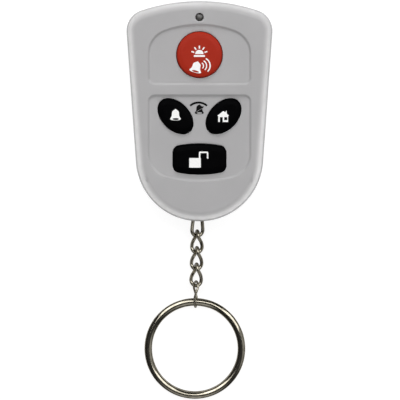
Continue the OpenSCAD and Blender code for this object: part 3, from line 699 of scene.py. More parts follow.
screws = begin("case_screws")
draw_circle(SCREWS[0], HEAD_R, HEAD_SEAT, SCREW_POINTS)
rise([(LEAN, -HEAD_SIDE)] + rounded(HEAD_EDGE, 5, -1))
punch()
cross = [(CROSS_ARM, -CROSS_HALF), (CROSS_ARM, CROSS_HALF), (CROSS_HALF, CROSS_HALF)]
for _ in range(3):
    cross += [(-y, x) for x, y in cross[-3:]]
draw([(SCREWS[0][0] + x, SCREWS[0][1] + y) for x, y in cross], HEAD_FACE)
rise(CROSS_STEPS)
fill_between(HEAD_FACE)
cap(HEAD_SEAT)
face_up()
rise(SHANK_STEPS)
bpy.ops.mesh.select_all(action="SELECT")
for there, before in zip(SCREWS[1:], SCREWS):
    step = Vector((there[0] - before[0], there[1] - before[1], 0)) * MM
    bpy.ops.mesh.duplicate_move(TRANSFORM_OT_translate={"value": step})
done(screws)
print("screws:", len(screws.data.polygons), "faces")

# %% [markdown]
# ## Chain
# The links are bent from round wire: a first link on the pin, three curb links whose two ends are turned
# against each other, and a long thin link to the ring. A curb link stands nearly upright at its near
# end and lies nearly flat at its far end, so it looks like a drop from above. The links hang between
# the points where they touch, and these are the places of the joints.

# %% Places where the links touch
BAND_W, PIN_R = 2.1, 0.55
LINK_JOINTS = ["link_2_lift", "link_3_swing", "link_4_lift", "end_link_swing"]
joint_places = {joint["name"]: Vector(joint["pos_m"]) / MM
                for joint in frame["record"]["behaviour"]["joints"] if "pos_m" in joint}
CONTACTS = [joint_places["link_1_swing"] + Vector((0, PIN_R, 0))]
CONTACTS += [joint_places[name] for name in LINK_JOINTS]
chain_way = (joint_places["ring_flip"] - CONTACTS[-1]) * Vector((1, 1, 0))
chain_way.normalize()
CONTACTS.append(joint_places["ring_flip"] + chain_way * BAND_W / 2)
print("contacts, mm:", [[round(v, 2) for v in place] for place in CONTACTS])

# %% [markdown]
# A torus could be stretched into a link, but a closed curve with a round bevel is the direct way to bend
# wire. It is turned into a mesh when its shape is right. The ring and the prints come from curves too,
# and their doubled points are merged.

# %% Wire tools
def new_curve(name, dimensions):
    """An empty curve in the scene."""
    line = bpy.data.curves.new(name, "CURVE")
    line.dimensions = dimensions
    holder = bpy.data.objects.new(name, line)
    scene.collection.objects.link(holder)
    return holder


def add_line(holder, points, closed=True):
    """Adds a line of straight stretches to a curve, along points in millimetres."""
    line = holder.data.splines.new("POLY")
    line.points.add(len(points) - 1)
    for point, place in zip(line.points, points):
        point.co = (*(Vector(place) * MM), 1)
    line.use_cyclic_u = closed
    return line


def to_mesh(holder):
    """Turns a curve into a mesh."""
    only(holder)
    bpy.ops.object.convert(target="MESH")
    return bpy.context.object


def close(piece):
    """Merges doubled points and turns all faces outwards, on a mesh that came from a curve."""
    only(piece)
    bpy.ops.object.mode_set(mode="EDIT")
    bpy.ops.mesh.select_all(action="SELECT")
    bpy.ops.mesh.remove_doubles(threshold=SAME * MM)
    leave_edit()


def bend_wire(name, points, radius):
    """A closed loop of round wire."""
    wire = new_curve(name, "3D")
    add_line(wire, points)
    wire.data.bevel_depth = radius * MM
    wire.data.bevel_resolution = 5
    return to_mesh(wire)


def egg(length, near_r, far_r, steps=30):
    """Points round an egg, as (across, along) from its middle: two bends and two straight sides."""
    near_y, far_y = near_r - length / 2, length / 2 - far_r
    taper = math.asin((far_r - near_r) / (far_y - near_y))
    shares = [i / steps for i in range(steps)]
    points = []
    for middle, radius, begins, ends in ((far_y, far_r, -taper, math.pi + taper),
                                         (near_y, near_r, math.pi + taper, 2 * math.pi - taper)):
        other_r = near_r + far_r - radius
        turns = [begins + (ends - begins) * s for s in shares]
        points += [(radius * math.cos(t), middle + radius * math.sin(t)) for t in turns]
        side_x = math.cos(ends) * radius, math.cos(ends) * other_r
        side_y = middle + math.sin(ends) * radius, near_y + far_y - middle + math.sin(ends) * other_r
        points += [(side_x[0] * (1 - s) + side_x[1] * s, side_y[0] * (1 - s) + side_y[1] * s) for s in shares]
    return points


print("wire tools ready")

# %% [markdown]
# A link is an egg whose plane turns as it runs along. Its form says how thick the wire is, how tight the
# two bends are, how far each end leans, over which share of the length the plane turns, and how far
# the ends reach past the two contacts.

# %% Chain
FIRST = {"wire_r": 0.5, "bends": (1.16, 1.58), "leans": (0, -24), "turn": (0, 1), "gaps": (0.6, 0.7)}
CURB = {"wire_r": 0.49, "bends": (1.42, 1.42), "leans": (77, -22), "turn": (0.265, 0.85),
        "gaps": (0.71, 0.71)}
LAST = {"wire_r": 0.32, "bends": (1.66, 1.66), "leans": (70, 100), "turn": (0.25, 0.62),
        "gaps": (0.52, 0.35)}
LINKS = [
    ("first_link_wire", "chain_link_1", "link_1", FIRST),
    ("second_link_wire", "chain_link_2", "link_2", CURB),
    ("third_link_wire", "chain_link_3", "link_3", CURB),
    ("fourth_link_wire", "chain_link_4", "link_4", CURB),
    ("ring_link_wire", "end_link", "last_link", LAST),
]
SOFTEN = 0.04


def link_line(near, far, form):
    """Points along the wire of a link that reaches from near to far."""
    length = (far - near).length
    along = (far - near) / length
    side = Vector((0, 0, 1)).cross(along).normalized()
    up = along.cross(side)
    lean_near, lean_far = form["leans"]
    points = []
    for across, run in egg(length, *form["bends"]):
        place = run / length + 0.5
        share = sum(share_of(place + shift, *form["turn"]) for shift in (-SOFTEN, 0, SOFTEN)) / 3
        lean = math.radians(lean_near + (lean_far - lean_near) * share)
        out = math.cos(lean) * side + math.sin(lean) * up
        points.append((near + far) / 2 + across * out + run * along)
    return points


wires = {}
for (name, node, _, form), near, far in zip(LINKS, CONTACTS, CONTACTS[1:]):
    way = (far - near).normalized()
    gap_near, gap_far = form["gaps"]
    line = link_line(near - gap_near * way, far + gap_far * way, form)
    wires[node] = bend_wire(name, line, form["wire_r"])
    bpy.ops.object.shade_smooth()
    print(name, len(wires[node].data.polygons), "faces")

# %% [markdown]
# ## Split ring
# The ring is two turns of a flat, domed band. The front turn ends in a clean cut, and beside it the band
# steps down to the back turn. A lens-shaped section follows the line of both turns, and rolls inwards
# a little in the lower half, as a wound band does. The spring holds the turns almost shut, so they lie
# closer together here than two loose solids could.

# %% Section and line of the ring
BAND_R, BAND_TOP, BAND_LOW, BAND_TIP = 12.95, 0.6, 0.35, 0.15
TURN_PITCH, BAND_ROLL = 0.99, 16
RING_FROM, RING_TO, RING_STEPS = 73, 743, 320
STEP_FROM, STEP_ANGLE = 383, 50
ARC_STEPS, TIP_STEPS = 18, 10


def band_height(angle):
    """Height of the band's middle: front turn, step, back turn."""
    share = share_of(angle, STEP_FROM, STEP_FROM + STEP_ANGLE)
    return TURN_PITCH * (0.5 - share * share * (3 - 2 * share)) - (BAND_TOP - BAND_LOW) / 2


def lens(half_w, top_h, low_h, tip_r):
    """Points round a lens-shaped section: a high and a low arc that meet in round tips."""
    reach = half_w - tip_r
    arcs = []
    spreads = []
    for arc_h in (top_h, low_h):
        arc_r = (reach ** 2 + arc_h ** 2 - tip_r ** 2) / (2 * (arc_h - tip_r))
        spread = math.asin(reach / (arc_r - tip_r))
        tilts = [spread * (1 - 2 * i / ARC_STEPS) for i in range(ARC_STEPS + 1)]
        arcs.append([(arc_r * math.sin(t), arc_r * math.cos(t) + arc_h - arc_r) for t in tilts])
        spreads.append(spread)
    tip_turn = math.pi - sum(spreads)
    tilts = [spreads[0] + tip_turn * i / TIP_STEPS for i in range(1, TIP_STEPS)]
    left_tip = [(-reach - tip_r * math.sin(t), tip_r * math.cos(t)) for t in tilts]
    right_tip = [(-x, y) for x, y in reversed(left_tip)]
    return arcs[0] + left_tip + [(-x, -y) for x, y in arcs[1]] + right_tip


section_line = [(x, y, 0) for x, y in lens(BAND_W / 2, BAND_TOP, BAND_LOW, BAND_TIP)]
angles = [RING_FROM + (RING_TO - RING_FROM) * i / RING_STEPS for i in range(RING_STEPS + 1)]
ring_line = [(BAND_R * math.cos(math.radians(a)), BAND_R * math.sin(math.radians(a)), band_height(a))
             for a in angles]
rolls = [math.radians(BAND_ROLL) * min(0, math.sin(math.radians(a))) for a in angles]
print("points of the ring's line:", len(ring_line))

# %% [markdown]
# The ring hangs in the end link and lies on the table with its far side, so it is tilted a little.

# %% Split ring
RING_LIFT, RING_ASIDE, RING_SOFT_ANGLE = 0.1, 0.12, 40

section = new_curve("band_section", "2D")
add_line(section, section_line)
band = new_curve("split_ring_band", "3D")
band_line = add_line(band, ring_line, closed=False)
for point, roll in zip(band_line.points, rolls):
    point.tilt = roll
band.data.bevel_mode = "OBJECT"
band.data.bevel_object = section
band.data.twist_mode = "Z_UP"
band.data.use_fill_caps = True
ring = to_mesh(band)
bpy.data.objects.remove(section)
near_z = CONTACTS[-1].z
far_z = (TURN_PITCH + BAND_TOP + BAND_LOW) / 2 + RING_LIFT
ring_middle = CONTACTS[-1] + chain_way * (BAND_R - BAND_W / 2)
ring_middle.x += RING_ASIDE
ring_middle.z = (near_z + far_z) / 2
ring_tilt = Matrix.Rotation(math.asin((near_z - far_z) / (2 * BAND_R)), 4, "X")
ring_swing = Matrix.Rotation(math.atan2(chain_way.x, -chain_way.y), 4, "Z")
ring.data.transform(Matrix.Translation(ring_middle * MM) @ ring_swing @ ring_tilt)
close(ring)
smooth(ring, RING_SOFT_ANGLE)
print("split ring:", len(ring.data.polygons), "faces, box", [round(x / MM, 2) for x in ring.dimensions])

# %% [markdown]
# ## Prints
# The signs are pad prints: a skin of ink a few hundredths of a millimetre thick on the flat field of each
# key. A flat filled curve takes outlines with holes in them and becomes a thin mesh. Places are measured
# in pixels of the photograph and turned into millimetres by one scale.

# %% Print tools
SCALE, ORIGIN_PX = 0.2772, (199.5, 111.1)
INK = 0.03


def px(x, y):
    """Place on the fob of a pixel of the photograph, in millimetres."""
    return ((x - ORIGIN_PX[0]) * SCALE, (ORIGIN_PX[1] - y) * SCALE)


def arc(centre, radius, start, end, steps=20):
    """Pixels along an arc, with angles from the right, anticlockwise."""
    turns = [math.radians(start + (end - start) * i / steps) for i in range(steps + 1)]
    return [(centre[0] + radius * math.cos(a), centre[1] - radius * math.sin(a)) for a in turns]


def arc_band(centre, radius, width, start, end):
    """Outline of a curved stroke, in pixels."""
    inner = arc(centre, radius - width / 2, start, end)
    return arc(centre, radius + width / 2, start, end) + inner[::-1]


def turned(points, centre, angle):
    """Pixels turned clockwise about a centre."""
    c, s = math.cos(math.radians(angle)), math.sin(math.radians(angle))
    return [(centre[0] + (x - centre[0]) * c - (y - centre[1]) * s,
             centre[1] + (x - centre[0]) * s + (y - centre[1]) * c) for x, y in points]


def oval(centre, half_w, half_h, steps=24):
    """Pixels round an oval."""
    return [(centre[0] + half_w * math.cos(2 * math.pi * i / steps),
             centre[1] + half_h * math.sin(2 * math.pi * i / steps)) for i in range(steps)]


def print_sign(name, outlines, z):
    """A thin skin of ink over outlines given in pixels. An outline inside another is left open."""
    flat = new_curve(name, "2D")
    flat.data.fill_mode = "BOTH"
    flat.data.extrude = INK / 2 * MM
    for outline in outlines:
        add_line(flat, [(*px(*pixel), 0) for pixel in outline])
    sign = to_mesh(flat)
    sign.data.transform(Matrix.Translation((0, 0, (z + INK / 2) * MM)))
    close(sign)
    return sign


def bell(apex, width, height):
    """Outline of a bell and the dark mouth in its foot, upright, in pixels."""
    half = width / 2
    side = [(0.07, 0.0), (0.15, 0.04), (0.3, 0.09), (0.46, 0.15), (0.58, 0.21), (0.64, 0.28), (0.66, 0.38),
            (0.67, 0.5), (0.71, 0.6), (0.8, 0.7), (0.92, 0.79), (1.0, 0.86), (0.98, 0.91), (0.86, 0.95),
            (0.62, 0.985), (0.35, 1.0)]
    right = [(apex[0] + half * a, apex[1] + height * b) for a, b in side]
    left = [(2 * apex[0] - x, y) for x, y in reversed(right)]
    mouth = oval((apex[0] + 0.06 * half, apex[1] + 0.885 * height), 0.6 * half, 0.085 * height)
    return right + left, mouth


print("print tools ready")

# %% [markdown]
# The black keys carry one sign each: a bell, a house with a door and a window, and an open padlock.

# %% Signs on the black keys
signs = {"arm": print_sign("arm_sign", bell((175.5, 109.1), 10.7, 11.3), KEY_TOP)}

house = [(223.3, 111.0), (225.1, 112.6), (226.4, 110.4), (226.8, 113.7), (228.9, 115.7), (228.1, 116.2),
         (228.1, 122.1), (222.7, 122.1), (222.7, 117.2), (219.9, 117.2), (219.9, 122.1), (218.2, 122.1),
         (218.2, 116.2), (217.4, 115.7)]
pane = [(224.2, 117.2), (227.2, 117.2), (227.2, 120.2), (224.2, 120.2)]
signs["home"] = print_sign("home_sign", [house, pane], KEY_TOP)

lock = [(189.6, 158.1), (198.9, 158.1), (198.9, 152.6), (199.8, 151.6), (207.4, 151.6), (208.3, 152.6),
        (208.3, 158.3), (207.6, 158.8), (206.9, 158.3), (206.9, 153.1), (200.4, 153.1), (200.4, 157.6),
        (200.8, 158.5), (200.8, 167.3), (200.4, 167.7), (189.6, 167.7), (189.2, 167.3), (189.2, 158.5)]
signs["disarm"] = print_sign("disarm_sign", [lock], KEY_TOP)
print("signs:", list(signs))

# %% [markdown]
# The round key calls for help. Its lower half shows a ringing bell, tilted, with three sound waves, and
# its upper half a plain flashing beacon.

# %% Sign on the round key
BELL_TILT, BELL_FOOT = 15, (194.9, 72.4)
BEACON, BEACON_R = (199.4, 54.2), 4.2
RAY_ANGLES = (18, 54, 90, 126, 162)

ringing = [turned(line, BELL_FOOT, BELL_TILT) for line in bell((194.9, 61.2), 12.0, 11.4)]
waves = [arc_band((200.0, 66.0), 3.5, 1.1, -45, 58), arc_band((200.9, 65.9), 5.7, 1.2, -46, 60),
         arc_band((202.0, 65.8), 8.1, 1.3, -46, 62)]
beacon_dome = arc(BEACON, BEACON_R, 0, 180)
beacon_foot = [(193.9, 55.2), (204.9, 55.2), (204.9, 57.0), (193.9, 57.0)]
ray = [(204.8, 53.55), (207.8, 53.55), (207.8, 54.85), (204.8, 54.85)]
beacon_rays = [turned(ray, BEACON, -angle) for angle in RAY_ANGLES]
panic_lines = [*ringing, *waves, beacon_dome, beacon_foot, *beacon_rays]
signs["panic"] = print_sign("panic_sign", panic_lines, KEY_TOP)
print("round key sign:", len(signs["panic"].data.polygons), "faces")

# %% [markdown]
# Between the ovals the panel carries a small black print: a crossed-out bell under a short arc.

# %% Print on the case
arch = arc_band((198.6, 115.2), 12.6, 2.0, 48, 132)
ear = [(201.4, 106.6), (204.0, 106.4), (202.6, 108.6)]
slash = [(203.0, 107.7), (195.8, 112.1), (195.95, 112.4), (203.2, 108.0)]

case_sign = print_sign("case_sign", [*bell((199.3, 104.5), 9.0, 9.7), arch], RECESS_Z)
slash_tool = block("slash_tool", [px(*pixel) for pixel in slash], RECESS_Z - PAST, RECESS_Z + PAST)
boolean(case_sign, slash_tool, "DIFFERENCE")
ear_sign = print_sign("ear_sign", [ear], RECESS_Z)
print("case print:", len(case_sign.data.polygons), "faces")

# %% [markdown]
# ## What rides on what
# Each new piece stands for a solid, moves with the body that carries it and names the finish that the
# record gives it. The prints stand for nothing, they only ride on their keys and on the case.

# %% Riding
slots = {row["node"]: row["material_slot"] for row in frame["record"]["subparts"]}
STAND_INS = [
    (front, "case", "front_shell"),
    (rear, "case", "rear_shell"),
    (cover, "cover", "battery_cover"),
    (window, "case", "led_light_pipe"),
    (screws, "case", "housing_screws"),
    (ring, "ring", "split_ring"),
]
STAND_INS += [(caps[key], f"{key}_key", f"{key}_button") for key in KEYS]
STAND_INS += [(wires[node], body, node) for _, node, body, _ in LINKS]
for piece, body, node in STAND_INS:
    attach(piece, body)
    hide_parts(node)
for key, sign in signs.items():
    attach(sign, f"{key}_key")
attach(case_sign, "case")
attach(ear_sign, "case")
print("pieces that stand for a solid:", len(STAND_INS))

# %% [markdown]
# ## Writing materials as sums
# A finish is a few lines of arithmetic on noise: colour, roughness and a fine relief. One small class
# wraps a socket, so that these lines read as sums, and one of its methods adds any other node.

# %% Shader sums
class Wire:
    """An output of a material's nodes, with plain arithmetic."""

    def __init__(self, tree, socket):
        self.tree = tree
        self.socket = socket

    def node(self, kind, settings, feeds, out=0):
        """Adds a node, sets it, feeds its sockets by name or number, and gives one of its outputs."""
        made = self.tree.nodes.new(kind)
        for name, value in settings.items():
            setattr(made, name, value)
        for name, value in feeds.items():
            self.feed(find(made.inputs, name), value)
        return Wire(self.tree, find(made.outputs, out))

    def feed(self, socket, value):
        """Links a wire to a socket, or sets the socket to a plain value."""
        if isinstance(value, Wire):
            self.tree.links.new(value.socket, socket)
        else:
            socket.default_value = value

    def math(self, operation, *values):
        """Adds one step of arithmetic."""
        return self.node("ShaderNodeMath", {"operation": operation}, dict(enumerate(values)))

    def __add__(self, other):
        return self.math("ADD", self, other)

    def __sub__(self, other):
        return self.math("SUBTRACT", self, other)

    def __rsub__(self, other):
        return self.math("SUBTRACT", other, self)

    def __mul__(self, other):
        return self.math("MULTIPLY", self, other)

    __radd__ = __add__
    __rmul__ = __mul__


def find(sockets, key):
    """A socket by number, identifier or name."""
    if isinstance(key, int):
        return sockets[key]
    return next(socket for socket in sockets if key in (socket.identifier, socket.name))


print("shader sums ready")

# %% [markdown]
# Each finish is made of the same few things: a colour as read from a screen, noise with spots of a known
# size, a ramp that picks part of it, a blend of two colours, a fine relief, and the lean of the surface.

# %% Shader tools
def colour(*levels):
    """A colour as an eye reads it on a screen, three levels from 0 to 255, turned into light."""
    shares = [level / 255 for level in levels]
    return (*[((s + 0.055) / 1.055) ** 2.4 if s > 0.04045 else s / 12.92 for s in shares], 1)


def new_finish(name, numbers):
    """Starts a material and sets what is the same all over. Gives the material, its shader and the place."""
    made = bpy.data.materials.new(name)
    made.use_nodes = True
    tree = made.node_tree
    shader = tree.nodes["Principled BSDF"]
    for socket, value in numbers.items():
        shader.inputs[socket].default_value = value
    place = Wire(tree, tree.nodes.new("ShaderNodeTexCoord").outputs["Object"])
    return made, shader, place


def noise(place, size, detail=2, stretch=None):
    """Soft noise from 0 to 1, with spots of about a size in millimetres."""
    if stretch:
        place = place.node("ShaderNodeMapping", {}, {"Vector": place, "Scale": stretch})
    return place.node("ShaderNodeTexNoise", {}, {"Vector": place, "Scale": 1 / (size * MM), "Detail": detail})


def ramp(value, low, high):
    """Stretches a value so that low becomes 0 and high becomes 1."""
    return value.node("ShaderNodeMapRange", {}, {"Value": value, "From Min": low, "From Max": high})


def blend_colours(share, first, second):
    """A colour that goes from the first to the second as the share goes from 0 to 1."""
    return share.node("ShaderNodeMix", {"data_type": "RGBA"},
                      {"Factor_Float": share, "A_Color": first, "B_Color": second}, "Result_Color")


def relief(height, depth):
    """A fine relief, with its depth in millimetres."""
    feeds = {"Height": height, "Strength": 1, "Distance": depth * MM}
    return height.node("ShaderNodeBump", {}, feeds, "Normal")


def slope_share(place):
    """0 on faces that look straight up or down, 1 on walls."""
    normal = place.node("ShaderNodeTexCoord", {}, {}, "Normal")
    upward = place.node("ShaderNodeSeparateXYZ", {}, {"Vector": normal}, "Z")
    return 1 - upward * upward


def connect(shader, wires_in):
    """Links what changes over the surface to the shader."""
    for socket, wire in wires_in.items():
        wire.feed(shader.inputs[socket], wire)


print("shader tools ready")

# %% [markdown]
# ## Plastics
# The case is grey ABS from a spark-eroded mould: a fine even grain, satin, with faint clouds in the
# colour. Its rounded rim is a little smoother than the flat face and carries a painted highlight. Its
# walls carry painted shade, and the groove at the parting line is painted dark. The keys have no marks,
# so on them the same finish is even.

# %% Plastics
# The groove at the parting line is painted this dark colour.
GROOVE_DARK = colour(62, 61, 62)
finishes = {}


def moulded(name, base, light, numbers, grain, rough, rim_highlight=None, wall_shade=None):
    """A moulded plastic with clouds, a grain of (size, depth) in millimetres, painted highlight and shade."""
    made, shader, place = new_finish(name, numbers)
    clouds = noise(place, 9, 3)
    specks = noise(place, grain[0])
    lean = slope_share(place)
    rim = place.node("ShaderNodeAttribute", {"attribute_name": "rim"}, {}, "Fac")
    # Painted highlight on the slopes of the marked rim.
    highlight_share = rim * ramp(lean, 0.0, 0.4) * (1 - ramp(lean, 0.8, 0.96))
    # Painted shade on the marked steep walls.
    wall_shade_share = ramp(rim, 0, HIGHLIGHT_AND_SHADE_MARKS["walls"]) * ramp(lean, 0.78, 1.0)
    body = blend_colours(ramp(clouds, 0.3, 0.7) * 0.6 + specks * 0.4, base, light)
    body = blend_colours(wall_shade_share, body, wall_shade or base)
    # The groove at the parting line is painted dark.
    body = blend_colours(ramp(rim, -HIGHLIGHT_AND_SHADE_MARKS["walls"], HIGHLIGHT_AND_SHADE_MARKS["groove"]), body, GROOVE_DARK)
    connect(shader, {
        "Base Color": blend_colours(highlight_share * (0.8 + noise(place, 2, 3) * 0.3), body, rim_highlight or light),
        "Roughness": rough + (clouds - 0.5) * 0.12 + (specks - 0.5) * 0.1 - highlight_share * 0.06,
        "Normal": relief(specks, grain[1]),
    })
    return made


# The case's light rim colour is a painted highlight, and its dark wall colour is painted shade.
finishes["case_plastic"] = moulded(
    "case_grey_plastic", colour(171, 170, 171), colour(177, 176, 177),
    {"Specular IOR Level": 0.45, "Sheen Weight": 0.2, "Sheen Roughness": 0.3},
    (0.22, 0.004), 0.46, rim_highlight=colour(243, 242, 242), wall_shade=colour(140, 139, 140))
finishes["panic_red"] = moulded(
    "panic_red_plastic", colour(163, 39, 21), colour(168, 44, 26),
    {"Specular IOR Level": 0.12}, (0.2, 0.002), 0.45)
finishes["key_black"] = moulded(
    "key_black_rubber", colour(2, 2, 3), colour(4, 4, 5),
    {"Specular IOR Level": 0.02}, (0.25, 0.003), 0.42)
print("plastics:", list(finishes))

# %% [markdown]
# ## Metals
# Ring and links are steel with a warm bright nickel plate. Keys and coins rub fine scratches and dull
# spots into it, which break the streaks of light on the round wire. The screws, the cell, its contacts
# and the antenna are plated too, in other colours.

# %% Metals
def plated(name, base, dull, rough, side_shade=None):
    """A plated metal with dull spots and scratches. Its steep sides may take a painted dark reflection."""
    made, shader, place = new_finish(name, {"Metallic": 1})
    spots = noise(place, 1.6, 4)
    scratches = noise(place, 0.5, 3, (1, 9, 3)) * 0.5 + noise(place, 0.4, 2, (8, 1, 2)) * 0.5
    # Painted dark reflection on the steep sides of the wire.
    shaded_sides = ramp(slope_share(place), 0.4, 0.85) * (0.75 + spots * 0.5)
    plate = blend_colours(ramp(spots, 0.35, 0.75), base, dull)
    connect(shader, {
        "Base Color": blend_colours(shaded_sides, plate, side_shade) if side_shade else plate,
        "Roughness": rough + ramp(spots, 0.4, 0.8) * 0.1 + ramp(scratches, 0.5, 0.75) * 0.08,
        "Normal": relief(scratches * 0.5 + spots * 0.5, 0.004),
    })
    return made


# The nickel's dark side colour is a painted dark reflection.
finishes["nickel"] = plated("warm_nickel", colour(190, 184, 168), colour(158, 152, 136), 0.1,
                            side_shade=colour(58, 49, 31))
finishes["screw_steel"] = plated("zinc_steel", colour(186, 188, 192), colour(150, 152, 156), 0.26)
finishes["cell_can"] = plated("cell_steel", colour(205, 206, 207), colour(186, 187, 188), 0.22)
finishes["contact_gold"] = plated("gold_plate", colour(214, 184, 112), colour(188, 150, 84), 0.2)
finishes["copper"] = plated("tinned_copper", colour(204, 150, 104), colour(168, 112, 72), 0.3)
print("finishes so far:", list(finishes))

# %% [markdown]
# ## Inks, window and inner parts
# The ink is nearly opaque, a little thinner here and there. The window is smoked plastic, lighter in its
# middle where the lamp stands behind it. A clear solid would need all the light paths below it, so its
# depth is painted as a ramp from the middle to the edge.

# %% Inks and window
def inked(name, base, thin):
    """An ink with thinner spots."""
    made, shader, place = new_finish(name, {"Specular IOR Level": 0.1})
    thin_share = ramp(noise(place, 0.5, 3), 0.35, 0.8)
    connect(shader, {
        "Base Color": blend_colours(thin_share, base, thin),
        "Roughness": 0.5 + thin_share * 0.15,
        "Normal": relief(noise(place, 0.15), 0.002),
    })
    return made


def smoked(name):
    """A smoked plastic that is lighter in the middle of the lamp's hole."""
    made, shader, place = new_finish(name, {"Coat Roughness": 0.08, "Specular IOR Level": 0.4})
    shift = place.node("ShaderNodeVectorMath", {"operation": "SUBTRACT"},
                       {0: place, 1: (LAMP[0] * MM, LAMP[1] * MM, 0)})
    flat = place.node("ShaderNodeVectorMath", {"operation": "MULTIPLY"}, {0: shift, 1: (1, 1, 0)})
    radius = place.node("ShaderNodeVectorMath", {"operation": "LENGTH"}, {0: flat}, "Value")
    edge = ramp(radius + (noise(place, 0.4) - 0.5) * 0.3 * MM, 0.2 * WINDOW_R * MM, WINDOW_R * MM)
    connect(shader, {
        "Base Color": blend_colours(edge, colour(92, 90, 88), colour(38, 37, 36)),
        "Roughness": 0.2 + noise(place, 0.3) * 0.1,
        "Coat Weight": 0.5 - edge * 0.3,
    })
    return made


white_ink = inked("white_ink", colour(255, 255, 254), colour(246, 246, 244))
black_ink = inked("black_ink", colour(3, 3, 3), colour(12, 12, 11))
finishes["smoked_window"] = smoked("smoked_window")
print("inks:", white_ink.name, black_ink.name)

# %% [markdown]
# Board, chips and switches are seldom seen, but each has its own finish. The small plastics share the
# way of the case. The board's tracks come from a brick pattern, whose joints are straight fine lines.

# %% Inner parts
INNER_PLASTICS = {
    "chip_black": ((24, 24, 26), (34, 34, 36), (0.15, 0.006), 0.6),
    "chip_tan": ((160, 132, 100), (176, 150, 116), (0.2, 0.004), 0.5),
    "lamp_white": ((224, 222, 212), (236, 234, 226), (0.4, 0.001), 0.25),
    "switch_grey": ((50, 50, 53), (60, 60, 63), (0.2, 0.004), 0.5),
    "plunger_ivory": ((204, 198, 178), (214, 208, 190), (0.25, 0.003), 0.42),
}


def board(name):
    """Green solder mask over fine tracks, which run as a grid of narrow joints."""
    made, shader, place = new_finish(name, {"Specular IOR Level": 0.5})
    tracks = place.node("ShaderNodeTexBrick", {"offset": 0.35, "squash": 1.6, "squash_frequency": 3},
                        {"Vector": place, "Scale": 220, "Mortar Size": 0.05, "Mortar Smooth": 0.2}, "Fac")
    lines = tracks * ramp(noise(place, 4, 1), 0.48, 0.52)
    connect(shader, {
        "Base Color": blend_colours(lines, colour(24, 92, 52), colour(64, 132, 72)),
        "Roughness": 0.34 + noise(place, 1) * 0.12 - lines * 0.08,
        "Normal": relief(lines + noise(place, 0.3) * 0.2, 0.03),
    })
    return made


finishes["board_green"] = board("board_green")
for name, (base, light, grain, rough) in INNER_PLASTICS.items():
    finishes[name] = moulded(name, colour(*base), colour(*light), {}, grain, rough)
print("finishes:", len(finishes))

# %% [markdown]
# Every piece and every solid that stays takes the finish of its slot in the record.

# %% Giving out the finishes
def give(piece, made):
    """Gives a piece one material."""
    piece.data.materials.clear()
    piece.data.materials.append(made)


for piece, _, node in STAND_INS:
    give(piece, finishes[slots[node]])
for sign in signs.values():
    give(sign, white_ink)
give(case_sign, black_ink)
give(ear_sign, black_ink)
shown = [name for name, solid in frame["nodes"].items() if not solid.hide_render]
for name in shown:
    give(frame["nodes"][name], finishes[slots[name]])
print("solids that stay:", len(shown))

# %% [markdown]
# ## Floor
# A pale table. To the camera, and in reflections, it is white with a soft shadow. To the light that
# bounces between the surfaces it is an ordinary pale board that shines a little. Its underside lets the
# view through, so that the back of the fob can be looked at from below.

# %% Floor
TABLE_SIZE = 12
BOUNCED_GREY, SEEN_GREY = (0.8, 0.8, 0.8, 1), (0.25, 0.25, 0.25, 1)
BOUNCED_SHINE, SEEN_SHINE = 0.38, 0.5

bpy.ops.object.select_all(action="DESELECT")
bpy.ops.mesh.primitive_plane_add(size=TABLE_SIZE, location=(0, 0, 0))
floor = bpy.context.object
floor.name = "table"
table_white = bpy.data.materials.new("table_white")
table_white.use_nodes = True
tree = table_white.node_tree
tree.nodes.remove(tree.nodes["Principled BSDF"])
light_path = tree.nodes.new("ShaderNodeLightPath")
seen = Wire(tree, light_path.outputs["Is Camera Ray"])
for kind in ("Is Glossy Ray", "Is Transmission Ray"):
    seen = seen.math("MAXIMUM", seen, Wire(tree, light_path.outputs[kind]))
diffuse = seen.node("ShaderNodeBsdfDiffuse", {}, {"Color": blend_colours(seen, BOUNCED_GREY, SEEN_GREY)})
shine = seen.node("ShaderNodeEmission", {},
                  {"Color": (1, 1, 1, 1), "Strength": seen * SEEN_SHINE + BOUNCED_SHINE})
top_side = seen.node("ShaderNodeAddShader", {}, {0: diffuse, 1: shine})
clear = seen.node("ShaderNodeBsdfTransparent", {}, {})
under = seen.node("ShaderNodeNewGeometry", {}, {}, "Backfacing")
both = seen.node("ShaderNodeMixShader", {}, {0: under, 1: top_side, 2: clear})
both.feed(tree.nodes["Material Output"].inputs["Surface"], both)
give(floor, table_white)
print("table:", floor.dimensions[0], "m wide")

# %% [markdown]
# ## Light
# Two softboxes stand at the upper left and the upper right of the picture. They draw the bright streaks
# on the ring and light the lower edge of each panel. Two low fills light the rim at the tail and at the
# lamp end, and don't show in the metal.

# %% Softboxes
BOX_DISTANCE, AIM = 1.2, Vector((0, -0.02, 0))
BOX_SIZE, FILL_SIZE = (0.6, 0.95), (0.9, 0.3)


def way_to(azimuth, elevation):
    """Direction from the fob to a place round it."""
    turn, lift = math.radians(azimuth), math.radians(elevation)
    return Vector((math.cos(lift) * math.cos(turn), math.cos(lift) * math.sin(turn), math.sin(lift)))


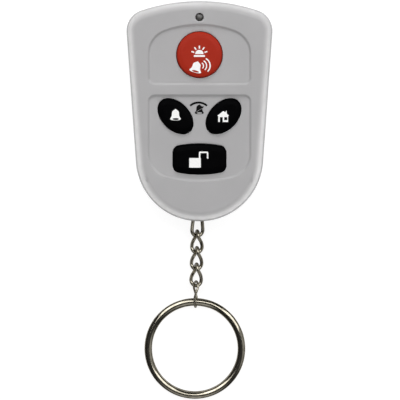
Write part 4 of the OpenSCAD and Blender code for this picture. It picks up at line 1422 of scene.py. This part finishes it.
def softbox(name, azimuth, elevation, size, watts):
    """An area light that looks at the fob."""
    lamp = bpy.data.lights.new(name, "AREA")
    lamp.shape = "RECTANGLE"
    lamp.size, lamp.size_y = size
    lamp.energy = watts
    made = bpy.data.objects.new(name, lamp)
    scene.collection.objects.link(made)
    way = way_to(azimuth, elevation)
    made.location = AIM + way * BOX_DISTANCE
    made.rotation_euler = way.to_track_quat("Z", "Y").to_euler()
    made.visible_camera = False
    return made


softbox("upper_left_box", 122, 58, BOX_SIZE, 4.75)
softbox("upper_right_box", 41, 58, BOX_SIZE, 4.15)
low_fill = softbox("low_fill", 270, 28, FILL_SIZE, 3.8)
top_fill = softbox("top_fill", 90, 22, FILL_SIZE, 9.5)
for fill in (low_fill, top_fill):
    fill.visible_glossy = False

# %% [markdown]
# The room round the fob is dark, which gives the metal its dark lines, and a little lighter overhead.
# Two soft patches, at the right and behind the ring, show in the sides of the wire.

# %% Room
ROOM_LEVEL, OVERHEAD_MORE, OVERHEAD_FROM = 0.03, 0.02, 0.8

room = bpy.data.worlds.new("room")
scene.world = room
room.use_nodes = True
sky = room.node_tree
direction = Wire(sky, sky.nodes.new("ShaderNodeTexCoord").outputs["Generated"])


def soft_patch(azimuth, elevation, spread, strength):
    """A soft patch of light on the room's wall."""
    feeds = {0: direction, 1: way_to(azimuth, elevation)}
    near = direction.node("ShaderNodeVectorMath", {"operation": "DOT_PRODUCT"}, feeds, "Value")
    feeds = {"Value": near, "From Min": math.cos(math.radians(spread)), "From Max": 1.0}
    return near.node("ShaderNodeMapRange", {"interpolation_type": "SMOOTHSTEP"}, feeds) * strength


height = direction.node("ShaderNodeSeparateXYZ", {}, {"Vector": direction}, "Z")
level = ramp(height, OVERHEAD_FROM, 1) * OVERHEAD_MORE + ROOM_LEVEL
level = level + soft_patch(0, 38, 32, 0.45) + soft_patch(268, 46, 30, 0.5)
level.feed(sky.nodes["Background"].inputs["Color"], level)
scene.view_settings.view_transform = "Standard"
print("room level:", ROOM_LEVEL)
